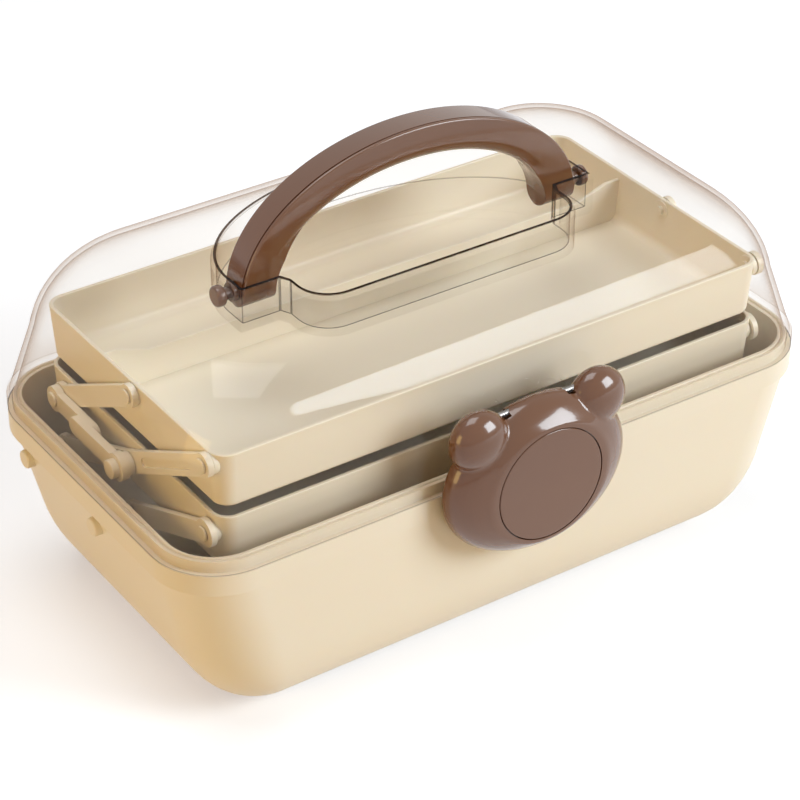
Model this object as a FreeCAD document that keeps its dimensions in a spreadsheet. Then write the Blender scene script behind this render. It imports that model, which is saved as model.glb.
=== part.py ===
import FreeCAD, Part
import math
import os
import Sketcher

os.makedirs("parts", exist_ok=True)
doc = FreeCAD.newDocument("cantilever_box")
sheet = doc.addObject("Spreadsheet::Sheet", "Dims")

Vector = FreeCAD.Vector
ALONG_X = FreeCAD.Rotation(Vector(0, 1, 0), 90)
ALONG_FRONT = FreeCAD.Rotation(Vector(1, 0, 0), 90)
UPRIGHT = FreeCAD.Rotation()

# Driving dimensions in millimetres. Half sizes are measured from the centre planes.
# X is the long way, the front faces -Y, and Z is the height above the underside.
SIZES = {
    # Base tub
    "floor_thick": 2.4,
    "foot_round": 38.5,
    "foot_half_length": 143.5,
    "foot_half_depth": 82.1,
    "foot_corner": 30.0,
    "foot_corner_fade": 0.9,
    "foot_lean": 0.216,
    "foot_end_inset": 24.8,
    "foot_front_inset": 31.0,
    "wall_thick": 2.4,
    "wall_top": 75.0,
    "wall_half_length": 151.4,
    "wall_half_depth": 83.9,
    "wall_corner": 28.2,
    "band_half_length": 153.8,
    "band_half_depth": 84.4,
    "band_corner": 28.8,
    "band_top": 84.3,
    "upstand_inset": 2.6,
    "rim_top": 89.3,
    "rim_half_length": 147.2,
    "rim_half_depth": 77.9,
    "rim_corner": 21.4,
    "rim_depth": 15.3,
    # Lid
    "skirt_bottom": 84.6,
    "skirt_top": 91.0,
    "skirt_thick": 2.1,
    "lid_seat": 89.5,
    "lid_foot_half_length": 152.6,
    "lid_foot_half_depth": 82.9,
    "lid_foot_corner": 26.5,
    "lid_shoulder_height": 121.0,
    "lid_shoulder_half_length": 145.5,
    "lid_shoulder_half_depth": 82.0,
    "lid_shoulder_corner": 37.0,
    "lid_lean": 0.237,
    "lid_end_inset": 27.5,
    "lid_front_inset": 33.1,
    "lid_round_rise": 35.0,
    "lid_corner_fade": 0.42,
    "lid_thick": 2.0,
    # Hinge between the lid and the base
    "hinge_back": 91.0,
    "hinge_height": 86.5,
    "hinge_station": 70.0,
    "hinge_knuckle_radius": 4.0,
    "hinge_knuckle_half_width": 6.6,
    "hinge_lug_inner": 7.0,
    "hinge_lug_outer": 12.0,
    "hinge_pin_radius": 1.5,
    "hinge_root_height": 8.0,
    "hinge_root_gap": 0.1,
    "hinge_shoulder": 3.0,
    "hinge_lug_back": 3.6,
    "hinge_lug_drop": 1.7,
    "knuckle_root": 0.6,
    # Well in the lid for the folded handle
    "well_floor": 140.0,
    "well_floor_thick": 2.2,
    "well_oval_centre": 0.2,
    "well_half_length": 83.8,
    "well_back_reach": 53.3,
    "well_ear_front": 10.0,
    "well_ear_inner": 66.5,
    "well_waist": 64.3,
    "well_waist_front": 14.5,
    "well_front_corner": 14.0,
    "well_front": 34.0,
    "well_lap": 4.0,
    # Handle
    "handle_centre": 0.7,
    "handle_height": 149.0,
    "handle_half_span": 80.9,
    "handle_arch_drop": 2.8,
    "handle_rise": 53.1,
    "handle_thick": 15.3,
    "handle_half_width": 7.0,
    "peg_radius": 2.5,
    "peg_collar_radius": 4.2,
    "peg_head_radius": 4.4,
    "peg_collar_end": 83.1,
    "peg_head_start": 86.1,
    "peg_head_end": 90.2,
    "peg_inner": 73.0,
    # Trays
    "tray_half_length": 131.0,
    "tray_half_depth": 69.4,
    "tray_corner": 8.0,
    "tray_height": 24.6,
    "tray_draft": 1.4,
    "tray_thick": 1.8,
    "top_tray_rim": 127.4,
    "mid_tray_rim": 99.4,
    "divider_back": 24.0,
    "divider_thick": 1.8,
    "divider_top": 119.0,
    "divider_root": 0.5,
    "divider_end_gap": 0.4,
    "divider_end_top": 124.0,
    "divider_step_low": 107.0,
    "divider_step_high": 122.0,
    # Swing linkage on each end
    "base_back_pivot": 53.5,
    "base_front_pivot": 3.5,
    "base_pivot_height": 66.3,
    "mid_front_pivot": 61.5,
    "mid_centre_pivot": 4.5,
    "mid_back_pivot": 52.5,
    "mid_pivot_height": 91.0,
    "top_front_pivot": 62.5,
    "top_back_pivot": 5.5,
    "top_pivot_height": 122.5,
    "boss_face": 131.1,
    "boss_start": 127.6,
    "boss_radius": 4.5,
    "link_inner": 131.4,
    "link_thick": 2.6,
    "link_half_width": 4.6,
    "link_end_radius": 5.0,
    "link_bulb_radius": 6.0,
    "link_channel_half_width": 2.0,
    "link_channel_depth": 0.9,
    "pin_radius": 2.0,
    "pin_fixed_gap": 0.03,
    "pin_turning_gap": 0.08,
    "pin_loose_gap": 0.45,
    "pin_head_radius": 3.2,
    "pin_head_thick": 0.9,
    "side_gap": 0.3,
    "pin_root": 0.4,
    "pin_lap": 0.1,
    "strap_pin_head_thick": 1.2,
    "strap_boss_lap": 0.5,
    "tool_margin": 1.0,
    "strap_thick": 3.2,
    "strap_front_start": 136.9,
    "strap_front_end": 140.4,
    "strap_half_height": 4.0,
    "strap_back_radius": 5.5,
    "strap_front_radius": 6.0,
    "strap_jog_back": 30.0,
    "strap_jog_front": 22.0,
    "strap_pin_head_end": 143.6,
    "base_pin_radius": 4.0,
    "base_pin_end": 152.6,
    # Latch
    "latch_back": 86.2,
    "latch_front": 101.5,
    "latch_centre_height": 84.7,
    "latch_half_width": 43.0,
    "latch_half_height": 34.8,
    "latch_ear_offset": 28.5,
    "latch_ear_height": 110.0,
    "latch_ear_forward": 91.5,
    "latch_ear_radius": 13.0,
    "latch_ear_depth": 8.5,
    "latch_hollow_half_width": 38.5,
    "latch_hollow_half_height": 28.3,
    "latch_hollow_depth": 10.6,
    "latch_hollow_end_half_width": 30.5,
    "latch_hollow_end_half_height": 23.3,
    "latch_hollow_height": 84.2,
    "latch_axis_forward": 89.5,
    "latch_axis_height": 116.5,
    "latch_pin_radius": 1.25,
    "latch_pin_half_length": 20.5,
    "latch_pin_end_gap": 0.2,
    "latch_lug_radius": 2.7,
    "latch_lug_inner": 14.0,
    "latch_lug_outer": 17.0,
    "latch_slot_reach": 3.3,
    "disc_height": 84.3,
    "disc_radius": 24.7,
    "disc_recess_radius": 25.1,
    "disc_recess_depth": 2.0,
    "disc_proud": 0.1,
    "tongue_half_width": 18.0,
    "tongue_radius": 36.5,
    "tongue_front": 84.9,
    "tongue_bottom": 98.0,
    "tongue_root": 1.0,
    "neck_root": 0.9,
    "catch_half_width": 16.0,
    "catch_reach": 87.4,
    "catch_low": 69.0,
    "catch_high": 75.5,
    "catch_root": 1.5,
    "hook_half_width": 14.0,
    "hook_reach": 87.9,
    "hook_low": 62.0,
    "hook_high": 67.6,
    "hook_root": 0.4,
}


class Size:
    """A length with its number and the spreadsheet expression that gives it."""

    def __init__(self, number, text=None):
        self.number = float(number)
        self.text = repr(float(number)) if text is None else text

    def join(self, other, number, sign):
        return Size(number, "(%s %s %s)" % (self.text, sign, other.text))

    def __add__(self, other):
        other = size(other)
        return self.join(other, self.number + other.number, "+")

    def __sub__(self, other):
        other = size(other)
        return self.join(other, self.number - other.number, "-")

    def __mul__(self, other):
        other = size(other)
        return self.join(other, self.number * other.number, "*")

    def __neg__(self):
        return Size(0.0) - self

    __radd__ = __add__
    __rmul__ = __mul__

    def __rsub__(self, other):
        return size(other) - self


def size(value):
    return value if isinstance(value, Size) else Size(value)


class Dimensions:
    """Every driving dimension as a Size, read by name."""


d = Dimensions()
for row, (alias, value) in enumerate(SIZES.items(), start=1):
    sheet.set("A%d" % row, alias)
    sheet.set("B%d" % row, str(value))
    sheet.setAlias("B%d" % row, alias)
    setattr(d, alias, Size(value, "Dims." + alias))
doc.recompute()


# Sketch helpers
def new_body(name):
    return doc.addObject("PartDesign::Body", name)


def new_sketch(body, name, role, offset):
    """A sketch on one of the body's own origin planes, moved along the plane's normal."""
    sketch = body.newObject("Sketcher::SketchObject", name)
    plane = [item for item in body.Origin.OriginFeatures if item.Role == role][0]
    sketch.AttachmentSupport = [(plane, "")]
    sketch.MapMode = "FlatFace"
    sketch.AttachmentOffset = FreeCAD.Placement(Vector(0, 0, size(offset).number), FreeCAD.Rotation())
    sketch.setExpression("AttachmentOffset.Base.z", size(offset).text)
    return sketch


def bind(sketch, kind, *items):
    """Add a dimension whose last item is a Size and bind it to the spreadsheet."""
    length = size(items[-1])
    index = sketch.addConstraint(Sketcher.Constraint(kind, *items[:-1], length.number))
    sketch.setExpression("Constraints[%d]" % index, length.text)


def pin_point(sketch, geometry, position, x, y):
    bind(sketch, "DistanceX", -1, 1, geometry, position, x)
    bind(sketch, "DistanceY", -1, 1, geometry, position, y)


def rounded_rectangle(body, name, height, half_length, half_depth, corner):
    sketch = new_sketch(body, name, "XY_Plane", height)
    half_length, half_depth, corner = size(half_length), size(half_depth), size(corner)
    x = half_length.number - corner.number
    y = half_depth.number - corner.number
    centres = [Vector(x, y), Vector(-x, y), Vector(-x, -y), Vector(x, -y)]
    quarter = math.pi / 2
    arcs = []
    for number, centre in enumerate(centres):
        circle = Part.Circle(centre, Vector(0, 0, 1), corner.number)
        arcs.append(Part.ArcOfCircle(circle, number * quarter, (number + 1) * quarter))
    for number, arc in enumerate(arcs):
        after = arcs[(number + 1) % 4]
        sketch.addGeometry(arc)
        sketch.addGeometry(Part.LineSegment(arc.EndPoint, after.StartPoint))
    for number in range(4):
        arc, line, after = 2 * number, 2 * number + 1, (2 * number + 2) % 8
        sketch.addConstraint(Sketcher.Constraint("Tangent", arc, 2, line, 1))
        sketch.addConstraint(Sketcher.Constraint("Tangent", line, 2, after, 1))
        sketch.addConstraint(Sketcher.Constraint(("Horizontal", "Vertical")[number % 2], line))
    for number in (2, 4, 6):
        sketch.addConstraint(Sketcher.Constraint("Equal", 0, number))
    sketch.addConstraint(Sketcher.Constraint("Symmetric", 0, 3, 4, 3, -1, 1))
    bind(sketch, "Radius", 0, corner)
    bind(sketch, "DistanceX", 4, 3, 0, 3, (half_length - corner) * 2)
    bind(sketch, "DistanceY", 4, 3, 0, 3, (half_depth - corner) * 2)
    return sketch


def polygon(body, name, role, offset, corners):
    sketch = new_sketch(body, name, role, offset)
    corners = [(size(x), size(y)) for x, y in corners]
    points = [Vector(x.number, y.number) for x, y in corners]
    count = len(points)
    for number in range(count):
        sketch.addGeometry(Part.LineSegment(points[number], points[(number + 1) % count]))
    for number in range(count):
        sketch.addConstraint(Sketcher.Constraint("Coincident", number, 2, (number + 1) % count, 1))
    for number, (x, y) in enumerate(corners):
        pin_point(sketch, number, 1, x, y)
    return sketch


def circle(body, name, role, offset, centre, radius):
    sketch = new_sketch(body, name, role, offset)
    x, y = size(centre[0]), size(centre[1])
    sketch.addGeometry(Part.Circle(Vector(x.number, y.number), Vector(0, 0, 1), size(radius).number))
    bind(sketch, "Radius", 0, radius)
    pin_point(sketch, 0, 3, x, y)
    return sketch


def capsule(body, name, offset, start, end, radius):
    """A bar outline with round ends in the plane of the linkage."""
    sketch = new_sketch(body, name, "YZ_Plane", offset)
    start = (size(start[0]), size(start[1]))
    end = (size(end[0]), size(end[1]))
    first = Vector(start[0].number, start[1].number)
    second = Vector(end[0].number, end[1].number)
    angle = math.atan2(second.y - first.y, second.x - first.x)
    reach = size(radius).number
    quarter = math.pi / 2
    up = Vector(0, 0, 1)
    near = Part.ArcOfCircle(Part.Circle(first, up, reach), angle + quarter, angle + 3 * quarter)
    far = Part.ArcOfCircle(Part.Circle(second, up, reach), angle - quarter, angle + quarter)
    for shape in (near, Part.LineSegment(near.EndPoint, far.StartPoint),
                  far, Part.LineSegment(far.EndPoint, near.StartPoint)):
        sketch.addGeometry(shape)
    for number in range(4):
        sketch.addConstraint(Sketcher.Constraint("Tangent", number, 2, (number + 1) % 4, 1))
    sketch.addConstraint(Sketcher.Constraint("Equal", 0, 2))
    bind(sketch, "Radius", 0, radius)
    pin_point(sketch, 0, 3, *start)
    pin_point(sketch, 2, 3, *end)
    return sketch


# Feature helpers
def pad(body, name, sketch, length):
    feature = body.newObject("PartDesign::Pad", name)
    feature.Profile = sketch
    feature.setExpression("Length", size(length).text)
    return feature


def pocket(body, name, sketch, length, backwards=False):
    feature = body.newObject("PartDesign::Pocket", name)
    feature.Profile = sketch
    feature.Reversed = backwards
    feature.setExpression("Length", size(length).text)
    return feature


def loft(body, name, sketches, additive=True, ruled=True):
    kind = "PartDesign::AdditiveLoft" if additive else "PartDesign::SubtractiveLoft"
    feature = body.newObject(kind, name)
    feature.Profile = sketches[0]
    feature.Sections = sketches[1:]
    feature.Ruled = ruled
    return feature


def placed(kind, name, base, rotation, **lengths):
    """A primitive with its lengths and its position bound to the spreadsheet."""
    item = doc.addObject(kind, name)
    x, y, z = [size(value) for value in base]
    item.Placement = FreeCAD.Placement(Vector(x.number, y.number, z.number), rotation)
    for axis, value in (("x", x), ("y", y), ("z", z)):
        item.setExpression("Placement.Base." + axis, value.text)
    for name_of_length, value in lengths.items():
        item.setExpression(name_of_length, size(value).text)
    return item


def rod(name, start, end, y, z, radius):
    """A cylinder along X between two X positions given from low to high."""
    return placed("Part::Cylinder", name, (start, y, z), ALONG_X, Radius=radius, Height=end - start)


def block(name, low, high):
    sides = [size(high[axis]) - size(low[axis]) for axis in range(3)]
    return placed("Part::Box", name, low, FreeCAD.Rotation(),
                  Length=sides[0], Width=sides[1], Height=sides[2])


def fuse(name, items):
    item = doc.addObject("Part::MultiFuse", name)
    item.Shapes = items
    return item


def cut(name, whole, tool):
    item = doc.addObject("Part::Cut", name)
    item.Base = whole
    item.Tool = tool
    return item


finished = []


def finish(item, label):
    item.Label = label
    finished.append(item)
    return item


def side_span(side, low, high):
    """Order two distances from the centre plane as X positions on one end of the box."""
    low, high = size(low), size(high)
    return (low, high) if side > 0 else (-high, -low)


SIDES = {"left": -1, "right": 1}
TURN_STEPS = (15, 30, 45, 60, 75, 90)


def quarter_sections(body, name, centre, drop, lean, end_inset, front_inset,
                     half_length, half_depth, corner, fade):
    """Sections of a rounded edge that turns from the leaning end walls into the floor or the roof."""
    sections = []
    reach = abs(drop.number)
    for step in TURN_STEPS:
        turned = size(1 - math.cos(math.radians(step)))
        sine = size(math.sin(math.radians(step)))
        end_shift = lean * reach * sine + end_inset * turned
        front_shift = front_inset * turned
        corner_shift = (end_inset + front_inset) * 0.5 * turned * fade
        sections.append(rounded_rectangle(
            body, "%s_%d" % (name, step), centre + drop * sine,
            half_length - end_shift, half_depth - front_shift, corner - corner_shift))
    return sections


# Base tub: rounded foot, sloping walls, outer band, stepped rim
tub = new_body("Tub")
foot_edge = rounded_rectangle(tub, "FootEdge", d.foot_round, d.foot_half_length, d.foot_half_depth,
                              d.foot_corner)
foot_sections = quarter_sections(tub, "Foot", d.foot_round, -d.foot_round, d.foot_lean, d.foot_end_inset,
                                 d.foot_front_inset, d.foot_half_length, d.foot_half_depth, d.foot_corner,
                                 d.foot_corner_fade)
loft(tub, "FootRound", [foot_edge] + foot_sections, ruled=False)
wall_low = rounded_rectangle(tub, "WallLow", d.foot_round, d.foot_half_length, d.foot_half_depth,
                             d.foot_corner)
wall_high = rounded_rectangle(tub, "WallHigh", d.wall_top, d.wall_half_length, d.wall_half_depth,
                              d.wall_corner)
loft(tub, "Walls", [wall_low, wall_high])
band = rounded_rectangle(tub, "Band", d.wall_top, d.band_half_length, d.band_half_depth, d.band_corner)
pad(tub, "BandPad", band, d.band_top - d.wall_top)
upstand = rounded_rectangle(tub, "Upstand", d.band_top, d.band_half_length - d.upstand_inset,
                            d.band_half_depth - d.upstand_inset, d.band_corner - d.upstand_inset)
pad(tub, "UpstandPad", upstand, d.rim_top - d.band_top)

inner_half_length = d.foot_half_length - d.wall_thick
inner_half_depth = d.foot_half_depth - d.wall_thick
inner_corner = d.foot_corner - d.wall_thick
inner_round = d.foot_round - d.floor_thick
cavity_edge = rounded_rectangle(tub, "CavityEdge", d.foot_round, inner_half_length, inner_half_depth,
                                inner_corner)
cavity_sections = quarter_sections(tub, "CavityFoot", d.foot_round, -inner_round, d.foot_lean,
                                   d.foot_end_inset - d.wall_thick * 0.5, d.foot_front_inset - d.wall_thick,
                                   inner_half_length, inner_half_depth, inner_corner, d.foot_corner_fade)
loft(tub, "CavityRound", [cavity_edge] + cavity_sections, additive=False, ruled=False)
cavity_low = rounded_rectangle(tub, "CavityLow", d.foot_round, inner_half_length, inner_half_depth,
                               inner_corner)
cavity_high = rounded_rectangle(tub, "CavityHigh", d.rim_top - d.rim_depth,
                                d.rim_half_length, d.rim_half_depth, d.rim_corner)
loft(tub, "CavityWalls", [cavity_low, cavity_high], additive=False)
mouth = rounded_rectangle(tub, "Mouth", d.rim_top - d.rim_depth, d.rim_half_length, d.rim_half_depth,
                          d.rim_corner)
pocket(tub, "MouthPocket", mouth, d.rim_depth, backwards=True)

tub_fittings = [tub]
hinge_lug_outline = [
    (d.wall_half_depth, d.band_top - d.hinge_root_height),
    (d.wall_half_depth, d.band_top - d.hinge_root_gap),
    (d.hinge_back - d.hinge_shoulder, d.band_top - d.hinge_root_gap),
    (d.hinge_back, d.hinge_height),
    (d.hinge_back + d.hinge_lug_back, d.hinge_height - d.hinge_lug_drop),
]
lid_knuckle_outline = [
    (d.lid_foot_half_depth - d.knuckle_root, d.skirt_bottom + d.hinge_root_gap),
    (d.lid_foot_half_depth - d.knuckle_root, d.skirt_top),
    (d.hinge_back, d.hinge_height + d.hinge_knuckle_radius),
    (d.hinge_back, d.hinge_height),
    (d.hinge_back - d.hinge_shoulder, d.skirt_bottom + d.hinge_root_gap),
]
lid_fittings = []
hinge_pins = []
hinge_holes = []
knuckle_holes = []
for side_name, side in SIDES.items():
    station = d.hinge_station * side
    for order, (near, far) in enumerate(((d.hinge_lug_inner, d.hinge_lug_outer),
                                         (-d.hinge_lug_outer, -d.hinge_lug_inner))):
        tag = "%s_%d" % (side_name, order)
        lug = new_body("HingeLug_" + tag)
        outline = polygon(lug, "HingeLugOutline_" + tag, "YZ_Plane", station + near, hinge_lug_outline)
        pad(lug, "HingeLugPad_" + tag, outline, far - near)
        eye = rod("HingeEye_" + tag, station + near, station + far, d.hinge_back, d.hinge_height,
                  d.hinge_knuckle_radius)
        tub_fittings += [lug, eye]
    width = d.hinge_knuckle_half_width
    knuckle = new_body("LidKnuckle_" + side_name)
    outline = polygon(knuckle, "LidKnuckleOutline_" + side_name, "YZ_Plane", station - width,
                      lid_knuckle_outline)
    pad(knuckle, "LidKnucklePad_" + side_name, outline, width * 2)
    lid_fittings += [knuckle, rod("LidEye_" + side_name, station - width, station + width,
                                  d.hinge_back, d.hinge_height, d.hinge_knuckle_radius)]
    low, high = station - d.hinge_lug_outer, station + d.hinge_lug_outer
    hinge_pins.append(rod("HingePin_" + side_name, low, high, d.hinge_back, d.hinge_height,
                          d.hinge_pin_radius))
    hole_low, hole_high = low - d.tool_margin, high + d.tool_margin
    hinge_holes.append(rod("HingeHole_" + side_name, hole_low, hole_high, d.hinge_back, d.hinge_height,
                           d.hinge_pin_radius + d.pin_fixed_gap))
    knuckle_holes.append(rod("KnuckleHole_" + side_name, hole_low, hole_high, d.hinge_back, d.hinge_height,
                             d.hinge_pin_radius + d.pin_turning_gap))

tub_fittings.append(block("Catch", (-d.catch_half_width, -d.catch_reach, d.catch_low),
                          (d.catch_half_width, -d.wall_half_depth + d.catch_root, d.catch_high)))

# Pivots of the linkage as (Y, Z), shared by both ends
BASE_BACK = (d.base_back_pivot, d.base_pivot_height)
BASE_FRONT = (-d.base_front_pivot, d.base_pivot_height)
MID_FRONT = (-d.mid_front_pivot, d.mid_pivot_height)
MID_CENTRE = (-d.mid_centre_pivot, d.mid_pivot_height)
MID_BACK = (d.mid_back_pivot, d.mid_pivot_height)
TOP_FRONT = (-d.top_front_pivot, d.top_pivot_height)
TOP_BACK = (-d.top_back_pivot, d.top_pivot_height)

link_outer = d.link_inner + d.link_thick
head_start = link_outer + d.side_gap

# Pins held in the tub's end walls, each with a collar, a shaft and a small inner head
tub_holes = hinge_holes
for side_name, side in SIDES.items():
    solids = []
    for tag, (y, z) in (("back", BASE_BACK), ("front", BASE_FRONT)):
        name = "%s_%s" % (side_name, tag)
        collar_span = side_span(side, head_start, d.base_pin_end)
        shaft_span = side_span(side, d.link_inner - d.tool_margin, head_start + d.tool_margin)
        hole_span = side_span(side, head_start, d.base_pin_end + d.tool_margin)
        collar = rod("BasePinCollar_" + name, *collar_span, y, z, d.base_pin_radius)
        shaft = rod("BasePinShaft_" + name, *shaft_span, y, z, d.pin_radius)
        head_end = d.link_inner - d.side_gap
        head = rod("BasePinHead_" + name, *side_span(side, head_end - d.pin_head_thick, head_end),
                   y, z, d.pin_head_radius)
        solids += [collar, shaft, head]
        tub_holes.append(rod("BasePinHole_" + name, *hole_span, y, z, d.base_pin_radius + d.pin_fixed_gap))
    finish(fuse("BasePins_" + side_name, solids), "base_pivot_pins_" + side_name)

finish(cut("TubFinished", fuse("TubWithFittings", tub_fittings), fuse("TubHoles", tub_holes)), "base_tub")
finish(fuse("HingePins", hinge_pins), "lid_hinge_pins")


# Lid: clear dome with a skirt, a well for the handle and the latch tongue
outside = new_body("LidOutside")
skirt = rounded_rectangle(outside, "Skirt", d.skirt_bottom, d.band_half_length, d.band_half_depth,
                          d.band_corner)
pad(outside, "SkirtPad", skirt, d.skirt_top - d.skirt_bottom)
lid_foot = rounded_rectangle(outside, "LidFoot", d.skirt_top, d.lid_foot_half_length, d.lid_foot_half_depth,
                             d.lid_foot_corner)
lid_shoulder = rounded_rectangle(outside, "LidShoulder", d.lid_shoulder_height, d.lid_shoulder_half_length,
                                 d.lid_shoulder_half_depth, d.lid_shoulder_corner)
loft(outside, "LidWalls", [lid_foot, lid_shoulder])
roof_edge = rounded_rectangle(outside, "RoofEdge", d.lid_shoulder_height, d.lid_shoulder_half_length,
                              d.lid_shoulder_half_depth, d.lid_shoulder_corner)
roof = quarter_sections(outside, "Roof", d.lid_shoulder_height, d.lid_round_rise, d.lid_lean, d.lid_end_inset,
                        d.lid_front_inset, d.lid_shoulder_half_length, d.lid_shoulder_half_depth,
                        d.lid_shoulder_corner, d.lid_corner_fade)
loft(outside, "RoofRound", [roof_edge] + roof, ruled=False)

# Share of the wall thickness taken off the roof's end inset, so that the roof keeps its thickness
ROOM_INSET_SHARE = 0.75

inside = new_body("LidInside")
skirt_room = rounded_rectangle(inside, "SkirtRoom", d.skirt_bottom - d.tool_margin,
                               d.band_half_length - d.skirt_thick,
                               d.band_half_depth - d.skirt_thick, d.band_corner - d.skirt_thick)
pad(inside, "SkirtRoomPad", skirt_room, d.lid_seat - d.skirt_bottom + d.tool_margin)
room_foot = rounded_rectangle(inside, "RoomFoot", d.lid_seat, d.lid_foot_half_length - d.lid_thick,
                              d.lid_foot_half_depth - d.lid_thick, d.lid_foot_corner - d.lid_thick)
room_half_length = d.lid_shoulder_half_length - d.lid_thick
room_half_depth = d.lid_shoulder_half_depth - d.lid_thick
room_corner = d.lid_shoulder_corner - d.lid_thick
room_shoulder = rounded_rectangle(inside, "RoomShoulder", d.lid_shoulder_height, room_half_length,
                                  room_half_depth, room_corner)
loft(inside, "RoomWalls", [room_foot, room_shoulder])
room_edge = rounded_rectangle(inside, "RoomEdge", d.lid_shoulder_height, room_half_length, room_half_depth,
                              room_corner)
room = quarter_sections(inside, "Room", d.lid_shoulder_height, d.lid_round_rise - d.lid_thick, d.lid_lean,
                        d.lid_end_inset - d.lid_thick * ROOM_INSET_SHARE, d.lid_front_inset - d.lid_thick,
                        room_half_length, room_half_depth, room_corner, d.lid_corner_fade)
loft(inside, "RoomRound", [room_edge] + room, ruled=False)


def ellipse_prism(name, centre, rotation, half_length, half_depth, height):
    """An elliptical prism raised along Z from its lower ring, or along -Y when it faces the front."""
    low = placed("Part::Ellipse", name + "Low", centre, rotation,
                 MajorRadius=half_length, MinorRadius=half_depth)
    x, y, z = centre
    far = (x, y, size(z) + height) if rotation == UPRIGHT else (x, size(y) - height, z)
    high = placed("Part::Ellipse", name + "High", far, rotation,
                  MajorRadius=half_length, MinorRadius=half_depth)
    item = doc.addObject("Part::Loft", name)
    item.Sections = [low, high]
    item.Solid = True
    item.Ruled = True
    return item


def common(name, first, second):
    item = doc.addObject("Part::Common", name)
    item.Base = first
    item.Tool = second
    return item


def well_prism(name, bottom, height, grow):
    """The handle well seen from above: half an ellipse behind, two ears and a narrower front."""
    reach = d.well_half_length + grow
    oval = ellipse_prism(name + "Oval", (0, d.well_oval_centre, bottom), UPRIGHT, reach,
                         d.well_back_reach + grow, height)
    rear = block(name + "Rear", (-reach - d.tool_margin, d.well_oval_centre - d.well_lap, bottom),
                 (reach + d.tool_margin, d.well_back_reach + grow + d.tool_margin, bottom + height))
    parts = [common(name + "Back", oval, rear)]
    corner_y = -d.well_front + d.well_front_corner
    corner_x = d.well_waist - d.well_front_corner
    right = [
        (reach, d.well_oval_centre),
        (reach, -d.well_ear_front - grow),
        (d.well_ear_inner + grow, -d.well_ear_front - grow),
        (d.well_waist + grow, -d.well_waist_front - grow),
        (d.well_waist + grow, corner_y),
        (corner_x, -d.well_front - grow),
    ]
    left = [(-x, y) for x, y in reversed(right)]
    front = new_body(name + "Front")
    outline = polygon(front, name + "FrontOutline", "XY_Plane", bottom, right + left)
    pad(front, name + "FrontPad", outline, height)
    parts.append(front)
    for side_name, side in SIDES.items():
        parts.append(placed("Part::Cylinder", "%sCorner_%s" % (name, side_name),
                            (corner_x * side, corner_y, bottom), UPRIGHT,
                            Radius=d.well_front_corner + grow, Height=height))
    return fuse(name, parts)


roof_top = d.lid_shoulder_height + d.lid_round_rise
well_outside = well_prism("WellOutside", d.well_floor - d.well_floor_thick,
                          roof_top - d.well_floor + d.well_floor_thick + d.tool_margin, d.lid_thick)
well_inside = well_prism("WellInside", d.well_floor, roof_top - d.well_floor + d.tool_margin * 2, size(0))

# Tongue plate and hinge lugs behind the latch
tongue = new_body("Tongue")
tongue_outline = polygon(tongue, "TongueOutline", "XZ_Plane", d.lid_foot_half_depth - d.tongue_root, [
    (-d.tongue_half_width, d.tongue_bottom),
    (d.tongue_half_width, d.tongue_bottom),
    (d.tongue_half_width, d.latch_centre_height + d.tongue_radius),
    (-d.tongue_half_width, d.latch_centre_height + d.tongue_radius),
])
pad(tongue, "TonguePad", tongue_outline, d.tongue_front - d.lid_foot_half_depth + d.tongue_root)
tongue_arch = placed("Part::Cylinder", "TongueArch",
                     (0, -d.lid_foot_half_depth + d.tongue_root * 2, d.latch_centre_height),
                     ALONG_FRONT, Radius=d.tongue_radius, Height=d.tongue_root * 5)
lid_fittings.append(common("TonguePlate", tongue, tongue_arch))
for side_name, side in SIDES.items():
    low, high = side_span(side, d.latch_lug_inner, d.latch_lug_outer)
    lid_fittings.append(rod("LatchEye_" + side_name, low, high, -d.latch_axis_forward, d.latch_axis_height,
                            d.latch_lug_radius))
    lid_fittings.append(block("LatchNeck_" + side_name,
                              (low, -d.latch_axis_forward, d.latch_axis_height - d.latch_lug_radius),
                              (high, -d.lid_foot_half_depth + d.neck_root,
                               d.latch_axis_height + d.latch_lug_radius)))
    peg_hole = side_span(side, d.well_half_length - d.tool_margin, d.peg_head_start + d.tool_margin)
    knuckle_holes.append(rod("PegHole_" + side_name, *peg_hole, d.handle_centre, d.handle_height,
                             d.peg_radius + d.pin_turning_gap))
knuckle_holes.append(rod("LatchPinHole", -d.latch_pin_half_length, d.latch_pin_half_length,
                         -d.latch_axis_forward, d.latch_axis_height, d.latch_pin_radius + d.pin_fixed_gap))

shell = cut("LidShell", outside, cut("LidHollow", inside, well_outside))
open_shell = cut("LidOpenWell", shell, well_inside)
lid_solid = fuse("LidWithFittings", [open_shell] + lid_fittings)
finish(cut("LidFinished", lid_solid, fuse("LidHoles", knuckle_holes)), "lid")
latch_pin_end = d.latch_pin_half_length - d.latch_pin_end_gap
finish(rod("LatchPin", -latch_pin_end, latch_pin_end, -d.latch_axis_forward, d.latch_axis_height,
           d.latch_pin_radius), "latch_hinge_pin")


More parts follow.
